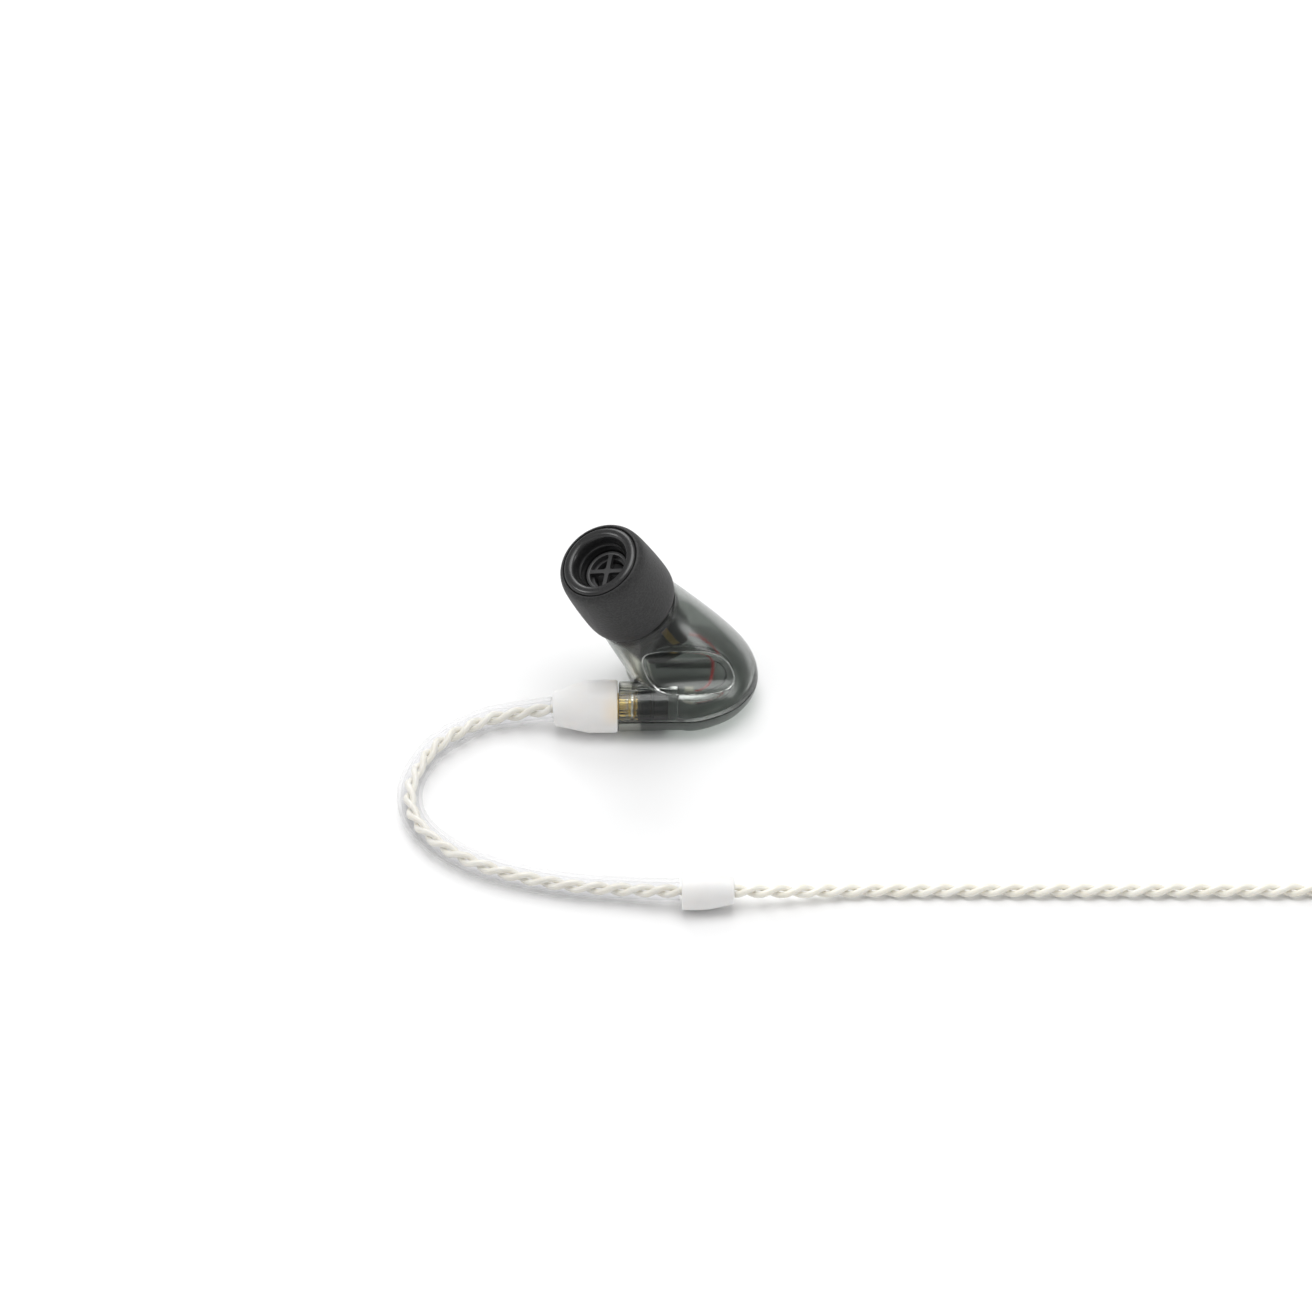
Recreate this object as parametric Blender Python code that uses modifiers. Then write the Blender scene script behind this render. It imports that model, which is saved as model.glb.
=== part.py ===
"""One earpiece of an in-ear monitor with its ear hook and its twisted lead.

The earpiece lies on its outer face. The origin is the middle of that flat face, +Z is up, +X runs
from the mouth of the plug socket into the housing, and the ear hook and the lead lie on the -Y side.
"""

import math

import bmesh
import bpy
from mathutils import Matrix, Vector

MM = 0.001  # dimensions below are in millimetres, and leave the helpers in metres

# Housing: a rounded lobe, split level with the middle of the socket barrel.
LOBE_OUTLINE = (
    (9.45, 0.3),
    (8.6, -4.1),
    (5.6, -7.7),
    (0.3, -9.6),
    (-4.4, -7.0),
    (-6.7, -2.2),
    (-7.9, 1.7),
    (-8.2, 5.3),
    (-5.9, 9.0),
    (-1.0, 10.7),
    (4.4, 9.3),
    (8.0, 5.3),
)
LOBE_POINTS = 48
SEAM_Z = 3.4
SEAM_GAP = 0.15
WALL = 0.8
BARREL_Y = -6.5
BARREL_MOUTH_X = -8.6
BARREL_END_X = 0.5
BARREL_RADIUS, BARREL_END_RADIUS = 3.25, 3.05
BARREL_BORE = 2.5
BARREL_BLIND_X = -1.0

# Nozzle: its axis leans out of the housing, and heights along it start at the shoulder.
NOZZLE_AXIS = Vector((-0.40, -0.244, 0.879)).normalized()
SHOULDER = Vector((-6.54, 1.13, 14.15))
NECK_RADIUS = 5.5
NECK_FLARE = 0.19
# How hard the dome's skin rises from the seam and runs into the neck: right, left, front and back.
DOME_RISE = (8, 4, 7, 4)
DOME_REACH = (12, 8, 10, 8)
TUBE_RADIUS, TUBE_BORE, TUBE_TOP = 2.7, 2.1, 8.0
GRILLE_TURN = math.radians(-12)

# Dish pressed into the inner face of the housing, below the nozzle.
DISH_CENTRE = Vector((0.45, -5.5, 8.25))
DISH_NORMAL = Vector((0.2, -0.73, 0.66)).normalized()
DISH_LENGTH_HALF, DISH_WIDTH_HALF, DISH_DEPTH = 7.2, 2.75, 1.9
DISH_TOP_POWER, DISH_BASE_POWER = 3.2, 2.2  # 2 is an ellipse, and more is squarer

# Driver capsule, as heights along the nozzle axis below the driver's datum.
DRIVER_DATUM = 2.2
DRIVER_RADIUS, DRIVER_TOP, DRIVER_BASE = 4.3, -4.0, -10.4
TERMINAL_ANGLE = math.radians(-47.8)

# Ear hook and lead.
SLEEVE_RADIUS, SLEEVE_WALL = 1.65, 0.5
STRAND_RADIUS, STRAND_OFFSET, TWIST_PITCH = 0.42, 0.47, 5.9
LEAD_RADIUS = 0.9
HOOK_ROUTE = (
    (-17.15, -6.50, 2.90),
    (-22.0, -6.45, 1.95),
    (-26.5, -7.7, 1.70),
    (-32.0, -12.2, 1.70),
    (-35.1, -19.2, 1.70),
    (-34.6, -25.7, 1.70),
    (-30.6, -31.3, 1.70),
    (-24.0, -35.5, 1.70),
    (-15.0, -38.2, 1.70),
    (-7.0, -39.3, 1.95),
    (-2.6, -39.95, 2.38),
    (-0.8, -40.0, 2.45),
)
BOOT_ROUTE = ((-8.75, BARREL_Y, SEAM_Z), (-12.4, BARREL_Y, 3.35), (-17.0, BARREL_Y, 2.92))
COLLAR_AXIS = (-40.0, 2.45)
COLLAR_LEFT_X, COLLAR_RIGHT_X = -0.55, 6.1
LEAD_ROUTE = (
    (6.4, -40.0, 2.45),
    (9.0, -39.97, 2.40),
    (13.5, -39.45, 1.85),
    (19.0, -38.60, 1.15),
    (26.0, -38.3, 0.95),
    (45.0, -38.3, 0.95),
    (66.0, -38.3, 0.95),
    (87.9, -38.3, 0.95),
)
COIL_CENTRE = (100.0, -27.3)
COIL_MID_RADIUS, COIL_HALF_WIDTH, COIL_HEIGHT = 11.0, 3.9, 7.4
COIL_MID_Z = 4.3
TIE_ANGLE = math.radians(140)
TIE_INSIDE, TIE_OUTSIDE, TIE_HALF_WIDTH = 1.065, 1.155, 1.1
JACK_X, JACK_Z = 111.0, 3.3
JACK_START_Y = -9.2

COLLECTION = "InEarMonitor"
CUTTERS = "Cutters"

SMOKE = (0.115, 0.135, 0.118)
BLACK = (0.012, 0.012, 0.013)
CHARCOAL = (0.045, 0.045, 0.046)
GOLD = (0.83, 0.62, 0.24)
CREAM = (0.76, 0.72, 0.62)
MILK = (0.80, 0.78, 0.75)
STEEL = (0.55, 0.56, 0.57)


# ---------------------------------------------------------------- scene and helpers


def clear_scene():
    for obj in list(bpy.data.objects):
        bpy.data.objects.remove(obj, do_unlink=True)


def new_collection(name):
    collection = bpy.data.collections.new(name)
    bpy.context.scene.collection.children.link(collection)
    return collection


def material(name, colour, roughness, metallic=0.0):
    made = bpy.data.materials.new(name)
    made.use_nodes = True
    made.diffuse_color = (*colour, 1.0)
    shader = made.node_tree.nodes["Principled BSDF"]
    shader.inputs["Base Color"].default_value = (*colour, 1.0)
    shader.inputs["Roughness"].default_value = roughness
    shader.inputs["Metallic"].default_value = metallic
    return made


def place(name, data, look, parent=None, cutter=False):
    """Make an object of some mesh or curve data, in the parts' or the cutters' collection."""
    obj = bpy.data.objects.new(name, data)
    bpy.data.collections[CUTTERS if cutter else COLLECTION].objects.link(obj)
    obj.parent = parent
    if cutter:
        obj.display_type = "WIRE"
        obj.hide_render = True
    else:
        data.materials.append(look)
    return obj


def axis_frame(name, origin, direction, along_x=Vector((1, 0, 0))):
    """An empty whose Z axis runs along a direction, with its X axis as near along_x as it can be."""
    z = Vector(direction).normalized()
    x = (along_x - along_x.dot(z) * z).normalized()
    y = z.cross(x)
    empty = bpy.data.objects.new(name, None)
    bpy.data.collections[COLLECTION].objects.link(empty)
    turn = Matrix((x, y, z)).transposed().to_4x4()
    empty.matrix_world = Matrix.Translation(Vector(origin) * MM) @ turn
    return empty


def mesh_of(bm, name, smooth_angle=35):
    bmesh.ops.recalc_face_normals(bm, faces=bm.faces)
    mesh = bpy.data.meshes.new(name)
    bm.to_mesh(mesh)
    bm.free()
    mesh.shade_smooth()
    mesh.set_sharp_from_angle(angle=math.radians(smooth_angle))
    return mesh


def loft(name, rings, look, parent=None, cutter=False):
    """A closed solid through a row of rings that have the same number of points."""
    bm = bmesh.new()
    rows = [[bm.verts.new(Vector(point) * MM) for point in ring] for ring in rings]
    count = len(rows[0])
    for low, high in zip(rows, rows[1:]):
        for i in range(count):
            j = (i + 1) % count
            bm.faces.new((low[i], low[j], high[j], high[i]))
    bm.faces.new(rows[0])
    bm.faces.new(rows[-1])
    return place(name, mesh_of(bm, name), look, parent, cutter)


def turned(name, profile, look, parent=None, steps=24, cutter=False):
    """Turn a profile of (radius, height) about Z: down the outer side, and round to its start."""
    bm = bmesh.new()
    points = [bm.verts.new((r * MM, 0, h * MM)) for r, h in profile]
    for a, b in zip(points, points[1:]):
        bm.edges.new((a, b))
    if profile[0][0] > 0:
        bm.edges.new((points[-1], points[0]))
    mesh = bpy.data.meshes.new(name)
    bm.to_mesh(mesh)
    bm.free()
    obj = place(name, mesh, look, parent, cutter)
    screw = obj.modifiers.new("Turn", "SCREW")
    screw.steps = steps
    screw.render_steps = steps
    screw.use_merge_vertices = True
    screw.merge_threshold = 0.000001
    screw.use_smooth_shade = True
    return obj


def ring_profile(outer, inner, top, base):
    return ((outer, top), (outer, base), (inner, base), (inner, top))


def disc_profile(radius, top, base):
    return ((0, top), (radius, top), (radius, base), (0, base))


def cup_profile(radius, wall, rim, base, floor):
    inside = base + floor
    bore = radius - wall
    return ((0, inside), (bore, inside), (bore, rim), (radius, rim), (radius, base), (0, base))


def tube(name, points, radius, look, resolution=2, radii=None):
    """A round tube with filled caps along a row of points in millimetres."""
    curve = bpy.data.curves.new(name, "CURVE")
    curve.dimensions = "3D"
    curve.bevel_depth = radius * MM
    curve.bevel_resolution = resolution
    curve.use_fill_caps = True
    spline = curve.splines.new("POLY")
    spline.points.add(len(points) - 1)
    for i, (slot, point) in enumerate(zip(spline.points, points)):
        slot.co = (*(Vector(point) * MM), 1)
        slot.radius = radii[i] / radius if radii else 1.0
    return place(name, curve, look)


def as_mesh(obj, look, cutter=False):
    """The same object with its curve and modifiers made a welded mesh."""
    bpy.context.view_layer.update()
    evaluated = obj.evaluated_get(bpy.context.evaluated_depsgraph_get())
    mesh = bpy.data.meshes.new_from_object(evaluated)
    bm = bmesh.new()
    bm.from_mesh(mesh)
    bmesh.ops.remove_doubles(bm, verts=bm.verts, dist=0.000005)
    bm.to_mesh(mesh)
    bm.free()
    matrix = obj.matrix_world.copy()
    name = obj.name
    bpy.data.objects.remove(obj, do_unlink=True)
    mesh.materials.clear()
    made = place(name, mesh, look, cutter=cutter)
    made.matrix_world = matrix
    return made


def cut(target, cutter, operation="DIFFERENCE"):
    boolean = target.modifiers.new(cutter.name, "BOOLEAN")
    boolean.object = cutter
    boolean.operation = operation
    return boolean


def box(name, low, high, look=None, parent=None, cutter=False):
    low, high = Vector(low), Vector(high)
    bm = bmesh.new()
    bmesh.ops.create_cube(bm, size=1.0)
    bmesh.ops.scale(bm, vec=(high - low) * MM, verts=bm.verts)
    bmesh.ops.translate(bm, vec=(low + high) / 2 * MM, verts=bm.verts)
    mesh = bpy.data.meshes.new(name)
    bm.to_mesh(mesh)
    bm.free()
    return place(name, mesh, look, parent, cutter)


def catmull_rom(p0, p1, p2, p3, t):
    straight = 2 * p1 + (p2 - p0) * t
    bend = (2 * p0 - 5 * p1 + 4 * p2 - p3) * t**2 + (3 * p1 - p0 - 3 * p2 + p3) * t**3
    return 0.5 * (straight + bend)


def smooth_route(route, spacing):
    """Points at an even spacing along a Catmull-Rom curve through the route."""
    knots = [Vector(p) for p in route]
    knots = [2 * knots[0] - knots[1], *knots, 2 * knots[-1] - knots[-2]]
    fine = []
    for p0, p1, p2, p3 in zip(knots, knots[1:], knots[2:], knots[3:]):
        fine += [catmull_rom(p0, p1, p2, p3, step / 24) for step in range(24)]
    fine.append(knots[-2])
    return evenly(fine, spacing)


def evenly(points, spacing):
    lengths = [0.0]
    for a, b in zip(points, points[1:]):
        lengths.append(lengths[-1] + (b - a).length)
    count = max(2, round(lengths[-1] / spacing))
    spaced = []
    segment = 0
    for i in range(count + 1):
        target = lengths[-1] * i / count
        while segment < len(points) - 2 and lengths[segment + 1] < target:
            segment += 1
        span = lengths[segment + 1] - lengths[segment]
        share = (target - lengths[segment]) / span
        spaced.append(points[segment].lerp(points[segment + 1], share))
    return spaced


def helix_along(points, offset, turns, phase):
    """A strand wound left-handed about a row of points, at an offset from it."""
    strand = []
    up = Vector((0, 0, 1))
    last = len(points) - 1
    for i, point in enumerate(points):
        tangent = (points[min(i + 1, last)] - points[max(i - 1, 0)]).normalized()
        side = tangent.cross(up).normalized()
        over = side.cross(tangent)
        angle = phase + 2 * math.pi * turns * i / last
        strand.append(point + offset * (math.cos(angle) * side + math.sin(angle) * over))
    return strand


# ---------------------------------------------------------------- housing


def closed_curve(knots, count):
    """Points round a closed Catmull-Rom curve, as many to each stretch between two knots."""
    each = count // len(knots)
    points = []
    for i in range(len(knots)):
        p0, p1, p2, p3 = (Vector((*knots[(i + k) % len(knots)], 0)) for k in (-1, 0, 1, 2))
        points += [catmull_rom(p0, p1, p2, p3, step / each) for step in range(each)]
    return points


def lobe_outline(inset, height):
    """The lobe's outline, moved inwards by an even distance, as a ring of points at one height."""
    points = closed_curve(LOBE_OUTLINE, LOBE_POINTS)
    ring = []
    for before, point, after in zip(points[-1:] + points[:-1], points, points[1:] + points[:1]):
        along = (after - before).normalized()
        ring.append(Vector((point.x + inset * along.y, point.y - inset * along.x, height)))
    return ring


def pan_rings(inset, floor, top):
    """The outer half of the lobe: a flat floor with quarter-round edges up to the seam."""
    radius = SEAM_Z - floor
    rings = []
    for step in range(7):
        angle = math.pi / 2 * step / 6
        drop = radius * math.sin(angle)
        rings.append(lobe_outline(inset + radius * (1 - math.cos(angle)), SEAM_Z - drop))
    rings[0] = lobe_outline(inset, top)
    return rings


def across_nozzle(c, s):
    """A direction square to the nozzle, turned from its rightmost one by an angle's cosine and sine."""
    x_axis = (Vector((1, 0, 0)) - NOZZLE_AXIS.x * NOZZLE_AXIS).normalized()
    return c * x_axis + s * NOZZLE_AXIS.cross(x_axis)


def dome_rings(inset, base, top, steps=9):
    """The inner half of the lobe, which sweeps up from the seam and leans into the neck."""
    rings = [lobe_outline(inset, base)]
    columns = []
    for low in lobe_outline(inset, SEAM_Z):
        c, s = low.xy.normalized()
        outwards = across_nozzle(c, s)
        sides = (max(c, 0) ** 2, min(c, 0) ** 2, min(s, 0) ** 2, max(s, 0) ** 2)
        rise = sum(share * size for share, size in zip(sides, DOME_RISE))
        reach = sum(share * size for share, size in zip(sides, DOME_REACH))
        high = SHOULDER + NOZZLE_AXIS * top + outwards * (NECK_RADIUS - inset)
        columns.append((low, Vector((0, 0, rise)), high, (NOZZLE_AXIS - NECK_FLARE * outwards) * reach))
    for step in range(steps + 1):
        t = step / steps
        a, b = 2 * t**3 - 3 * t**2 + 1, t**3 - 2 * t**2 + t
        c, d = 3 * t**2 - 2 * t**3, t**3 - t**2
        rings.append([a * p + b * rise + c * q + d * reach for p, rise, q, reach in columns])
    return rings


def shoulder_ring(radius, height):
    centre = SHOULDER + NOZZLE_AXIS * height
    return [centre + radius * across_nozzle(*point.xy.normalized()) for point in lobe_outline(0, SEAM_Z)]


def dish_cutter(name, grow):
    """A cutter whose middle lies on the dish's rim plane. Its outline is squarer along the top."""
    bm = bmesh.new()
    bmesh.ops.create_uvsphere(bm, u_segments=32, v_segments=16, radius=1.0)
    for vert in bm.verts:
        flat = vert.co.xy.length
        if flat > 0.001:
            power = DISH_TOP_POWER if vert.co.y > 0 else DISH_BASE_POWER
            c, s = abs(vert.co.x) / flat, abs(vert.co.y) / flat
            vert.co.xy *= (c**power + s**power) ** (-1 / power)
    size = Vector((DISH_LENGTH_HALF + grow, DISH_WIDTH_HALF + grow, DISH_DEPTH + grow)) * MM
    bmesh.ops.scale(bm, vec=size, verts=bm.verts)
    frame = axis_frame(name + "_axis", DISH_CENTRE, DISH_NORMAL)
    return place(name, mesh_of(bm, name), None, frame, cutter=True)


def barrel_solid(name, radius, end_radius, mouth, end, cutter=True):
    """A slightly tapered round bar along the socket's axis."""
    frame = axis_frame(name + "_axis", (0, BARREL_Y, SEAM_Z), (1, 0, 0), Vector((0, 1, 0)))
    return turned(name, ((0, end), (end_radius, end), (radius, mouth), (0, mouth)), None, frame, 32, cutter)


def build_shells():
    smoke = material("smoke_polycarbonate", SMOKE, 0.3)
    low_seam, high_seam = SEAM_Z - SEAM_GAP / 2, SEAM_Z + SEAM_GAP / 2

    outside = (BARREL_RADIUS, BARREL_END_RADIUS, BARREL_MOUTH_X, BARREL_END_X)
    bore = (BARREL_BORE, BARREL_BORE, BARREL_MOUTH_X - 1, BARREL_BLIND_X)

    pan = loft("outer_shell", pan_rings(0, 0, SEAM_Z + 1), smoke)
    cut(pan, barrel_solid("barrel_low", *outside), "UNION")
    cut(pan, loft("pan_hollow", pan_rings(WALL, WALL, SEAM_Z + 2), None, cutter=True))
    cut(pan, barrel_solid("bore_low", *bore))
    cut(pan, box("above_seam", (-30, -30, low_seam), (30, 30, 30), cutter=True))

    rings = dome_rings(0, SEAM_Z - 1, -0.5)
    rings += [shoulder_ring(NECK_RADIUS - 0.15, -0.15), shoulder_ring(NECK_RADIUS - 0.5, 0)]
    dome = loft("inner_shell", rings, smoke)
    cut(dome, barrel_solid("barrel_high", *outside), "UNION")
    cut(dome, dish_cutter("dish_outside", 0.0))
    hollow = loft("dome_hollow", dome_rings(WALL, SEAM_Z - 2, -1.3), None, cutter=True)
    cut(hollow, dish_cutter("dish_inside", WALL))
    cut(dome, hollow)
    cut(dome, barrel_solid("bore_high", *bore))
    nozzle = axis_frame("nozzle_hole_axis", SHOULDER, NOZZLE_AXIS)
    hole = disc_profile(TUBE_RADIUS + 0.15, 2, -4)
    cut(dome, turned("nozzle_hole", hole, None, nozzle, cutter=True))
    cut(dome, box("below_seam", (-30, -30, -30), (30, 30, high_seam), cutter=True))


# ---------------------------------------------------------------- nozzle, tip and driver


def quadrant_ring(inner_gap, radius, height):
    """A quarter of a disc that keeps clear of both spokes, as a ring of points at one height."""
    low = math.asin(inner_gap / radius)
    high = math.pi / 2 - low
    arc = [low + (high - low) * i / 6 for i in range(7)]
    points = [Vector((inner_gap, inner_gap, height))]
    return points + [Vector((radius * math.cos(a), radius * math.sin(a), height)) for a in arc]


def build_nozzle(axis):
    alloy = material("nozzle_alloy", CHARCOAL, 0.35, 0.6)
    profile = (
        (2.85, TUBE_TOP),
        (2.9, TUBE_TOP - 0.5),
        (TUBE_RADIUS, TUBE_TOP - 0.9),
        (TUBE_RADIUS, -1.35),
        (4.1, -1.35),
        (4.1, -1.7),
        (TUBE_BORE, -1.7),
        (TUBE_BORE, TUBE_TOP),
    )
    turned("nozzle_tube", profile, alloy, axis)
    mesh = material("screen_mesh", BLACK, 0.6)
    turned("acoustic_screen", disc_profile(TUBE_BORE - 0.12, 7.2, 7.0), mesh, axis)

    dark = material("grille_dark", CHARCOAL, 0.4, 0.4)
    grille = turned("nozzle_grille", disc_profile(2.9, 8.75, 8.15), dark, axis, 32)
    for quarter in range(4):
        rings = [quadrant_ring(0.36, 2.25, 7.6), quadrant_ring(0.36, 2.25, 9.2)]
        hole = loft(f"grille_hole_{quarter + 1}", rings, None, axis, cutter=True)
        hole.rotation_euler.z = GRILLE_TURN + quarter * math.pi / 2
        cut(grille, hole)


def build_tip(axis):
    core = (
        (4.3, 11.45),
        (4.85, 11.35),
        (5.05, 11.05),
        (4.65, 10.8),
        (3.9, 10.3),
        (3.75, 9.6),
        (3.75, 0.35),
        (3.05, 0.35),
        (3.05, 9.0),
        (3.45, 9.9),
        (3.6, 10.9),
        (3.9, 11.35),
    )
    turned("tip_core", core, material("tip_core_rubber", (0.06, 0.06, 0.061), 0.45), axis)
    foam = (
        (5.3, 11.25),
        (5.6, 11.0),
        (5.85, 10.4),
        (6.0, 9.4),
        (6.15, 7.2),
        (6.25, 4.2),
        (6.22, 2.2),
        (6.05, 1.1),
        (5.6, 0.5),
        (5.0, 0.35),
        (3.95, 0.35),
        (3.95, 9.6),
        (4.0, 10.15),
        (4.72, 10.68),
        (5.15, 11.1),
    )
    turned("tip_foam", foam, material("tip_foam", CHARCOAL, 0.85), axis)


def build_driver(axis):
    black = material("driver_plastic", BLACK, 0.4)
    turned("driver_case", cup_profile(DRIVER_RADIUS, 0.4, -5.1, DRIVER_BASE, 0.4), black, axis)
    turned("driver_front_ring", ring_profile(DRIVER_RADIUS, 1.8, DRIVER_TOP, -4.9), black, axis)
    steel = material("driver_steel", STEEL, 0.35, 1.0)
    turned("driver_yoke", cup_profile(3.3, 0.7, -6.5, -9.8, 0.6), steel, axis)
    nickel = material("magnet_nickel", (0.4, 0.4, 0.41), 0.25, 1.0)
    turned("driver_magnet", disc_profile(1.55, -7.45, -9.05), nickel, axis)
    turned("driver_pole_plate", disc_profile(1.6, -6.6, -7.3), steel, axis)


def build_diaphragm(axis):
    film = material("diaphragm_film", (0.5, 0.45, 0.3), 0.3)
    dome = (
        (0, -5.25),
        (1.1, -5.35),
        (1.9, -5.6),
        (2.2, -5.7),
        (3.0, -5.45),
        (3.85, -5.7),
        (3.85, -5.85),
        (3.0, -5.62),
        (2.2, -5.88),
        (1.9, -5.78),
        (1.1, -5.52),
        (0, -5.42),
    )
    turned("diaphragm", dome, film, axis)
    copper = material("coil_copper", (0.72, 0.33, 0.15), 0.35, 1.0)
    turned("voice_coil", ring_profile(2.2, 1.95, -6.05, -7.6), copper, axis, 20)


def build_terminals(axis):
    brass = material("brass_strip", (0.62, 0.44, 0.16), 0.3, 1.0)
    side = axis_frame("terminal_side", (0, 0, 0), (0, 0, 1))
    side.matrix_world = axis.matrix_world @ Matrix.Rotation(TERMINAL_ANGLE, 4, "Z")
    near = DRIVER_RADIUS + 0.1
    box("terminal_strip", (near, -0.42, -8.5), (near + 0.2, 0.42, -4.2), brass, side)


def build_wires():
    red = material("red_enamel", (0.42, 0.03, 0.03), 0.35)
    black = material("black_enamel", BLACK, 0.35)
    red_route = (
        (-0.7, 2.95, 7.7),
        (1.3, 2.95, 7.3),
        (2.97, 2.1, 6.3),
        (3.5, 1.25, 5.0),
        (3.5, 0.4, 3.6),
        (3.1, -1.4, 2.6),
        (2.1, -3.0, 2.6),
        (1.35, -3.9, 3.0),
    )
    black_route = (
        (-3.9, 1.5, 3.1),
        (-0.5, 1.7, 3.6),
        (2.5, 2.4, 3.9),
        (4.5, 2.0, 3.9),
        (5.5, 0.5, 3.3),
        (4.8, -1.5, 2.4),
        (3.0, -2.8, 1.7),
        (1.4, -3.7, 1.9),
    )
    tube("red_wire", smooth_route(red_route, 0.9), 0.2, red, 1)
    tube("black_wire", smooth_route(black_route, 0.9), 0.2, black, 1)


def build_socket():
    axis = axis_frame("socket_axis", (0, BARREL_Y, SEAM_Z), (1, 0, 0), Vector((0, 1, 0)))
    gold = material("socket_gold", GOLD, 0.25, 1.0)
    turned("socket_sleeve", ring_profile(2.05, 1.85, -4.3, -6.3), gold, axis)
    turned("socket_contact", ring_profile(0.55, 0.4, -4.5, -5.6), gold, axis, 16)
    turned("socket_insulator", ring_profile(1.7, 0.7, -4.3, -5.6), material("socket_liner", MILK, 0.5), axis)
    black = material("carrier_black", BLACK, 0.45)
    turned("socket_carrier", disc_profile(2.2, -2.2, -4.15), black, axis)
    turned("socket_shroud", ring_profile(2.3, 2.1, -4.25, -6.2), black, axis)
    steel = material("ring_steel", STEEL, 0.2, 1.0)
    turned("barrel_ring", ring_profile(2.42, 2.22, -6.7, -7.0), steel, axis)
    cream = material("terminal_cream", CREAM, 0.5)
    box("solder_terminal", (-0.1, -4.7, 2.7), (1.0, -3.5, 3.9), cream)
    duct = axis_frame("duct_axis", (0, 3.1, 2.4), (1, 0, 0), Vector((0, 1, 0)))
    tint = material("duct_smoke", (0.2, 0.22, 0.2), 0.3)
    turned("vent_duct", ring_profile(0.75, 0.45, 3.4, -4.0), tint, duct, 16)
    turned("vent_filter", disc_profile(0.75, 3.85, 3.55), material("filter_white", MILK, 0.8), duct, 16)


# ---------------------------------------------------------------- plug, boot and ear hook


def build_plug():
    axis = axis_frame("plug_axis", (0, BARREL_Y, SEAM_Z), (1, 0, 0), Vector((0, 1, 0)))
    gold = material("plug_gold", GOLD, 0.25, 1.0)
    sleeve = (
        (1.55, -6.45),
        (1.7, -6.6),
        (1.7, -7.3),
        (1.5, -7.3),
        (1.5, -7.7),
        (1.7, -7.7),
        (1.7, -12.0),
        (1.3, -12.0),
        (1.3, -6.45),
    )
    turned("plug_shell", sleeve, gold, axis)
    liner = material("plug_liner", MILK, 0.5)
    turned("plug_insulator", ring_profile(1.15, 0.5, -6.9, -11.8), liner, axis, 20)
    pin = ((0, -5.9), (0.22, -5.95), (0.35, -6.2), (0.35, -11.8), (0, -11.8))
    turned("plug_pin", pin, gold, axis, 16)
    steel = material("snap_ring_steel", STEEL, 0.2, 1.0)
    turned("snap_ring", ring_profile(1.84, 1.62, -7.38, -7.62), steel, axis)


def build_boot():
    milk = material("boot_silicone", MILK, 0.4)
    route = smooth_route(BOOT_ROUTE, 0.6)
    full, narrow = 3.45, 2.28
    taper_start = 0.44
    radii = []
    for i in range(len(route)):
        t = max(0.0, (i / (len(route) - 1) - taper_start) / (1 - taper_start))
        ease = t * t * (3 - 2 * t)
        radii.append(full + (narrow - full) * (0.55 * t + 0.45 * ease))
    radii[0] = full - 0.12
    boot = as_mesh(tube("boot", route, full, milk, 6, radii), milk)
    cut(boot, barrel_solid("boot_socket", 1.85, 1.85, -12.3, -8.0))
    inlet, outlet = Vector((-11.5, BARREL_Y, 3.39)), Vector((-18.2, BARREL_Y, 2.78))
    passage = [inlet, *smooth_route(BOOT_ROUTE[1:], 1.5), outlet]
    bore = as_mesh(tube("boot_passage", passage, 1.15, milk, 4), None, cutter=True)
    cut(boot, bore)


def build_hook():
    clear = material("hook_sleeve_clear", (0.78, 0.79, 0.79), 0.1)
    sleeve = tube("ear_hook_sleeve", smooth_route(HOOK_ROUTE, 2.4), SLEEVE_RADIUS, clear, 3)
    sleeve.data.use_fill_caps = False
    wall = sleeve.modifiers.new("Wall", "SOLIDIFY")
    wall.thickness = SLEEVE_WALL * MM
    wall.offset = -1

    milk = material("collar_silicone", MILK, 0.4)
    axis = axis_frame("collar_axis", (0, *COLLAR_AXIS), (1, 0, 0), Vector((0, 1, 0)))
    collar = (
        (1.7, COLLAR_RIGHT_X),
        (2.0, 4.6),
        (2.4, 2.6),
        (2.44, COLLAR_LEFT_X + 0.2),
        (2.3, COLLAR_LEFT_X),
        (1.15, COLLAR_LEFT_X),
        (1.15, COLLAR_RIGHT_X),
    )
    turned("hook_collar", collar, milk, axis, 28)

    cream = material("strand_cream", CREAM, 0.3)
    inside = [(-12.3, BARREL_Y, 3.33), *HOOK_ROUTE, (5.9, *COLLAR_AXIS)]
    middle = smooth_route(inside, 0.95)
    turns = 0.95 * (len(middle) - 1) / TWIST_PITCH
    for letter, phase in (("a", 0.0), ("b", math.pi)):
        strand = helix_along(middle, STRAND_OFFSET, turns, phase)
        tube("hook_strand_" + letter, strand, STRAND_RADIUS, cream, 1)


# ---------------------------------------------------------------- lead, coil and jack


def build_lead():
    cream = material("lead_cream", CREAM, 0.35)
    tube("lead", smooth_route(LEAD_ROUTE, 4.5), LEAD_RADIUS, cream)
    end_y = COIL_CENTRE[1] + 12.3
    tail = [(JACK_X, end_y + 0.2 + 1.75 * i, JACK_Z) for i in range(4)]
    tube("lead_tail", tail, LEAD_RADIUS, cream)


def bundle_section(grow):
    """The coil's cross-section about its middle, as (outwards, up), grown evenly."""
    half, tall = COIL_HALF_WIDTH, COIL_HEIGHT / 2
    corners = ((0.6 * half, tall), (half, 0.5 * tall))
    quarter = [(x * grow, y * grow) for x, y in corners]
    right = quarter + [(x, -y) for x, y in reversed(quarter)]
    return right + [(-x, -y) for x, y in right]


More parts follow.
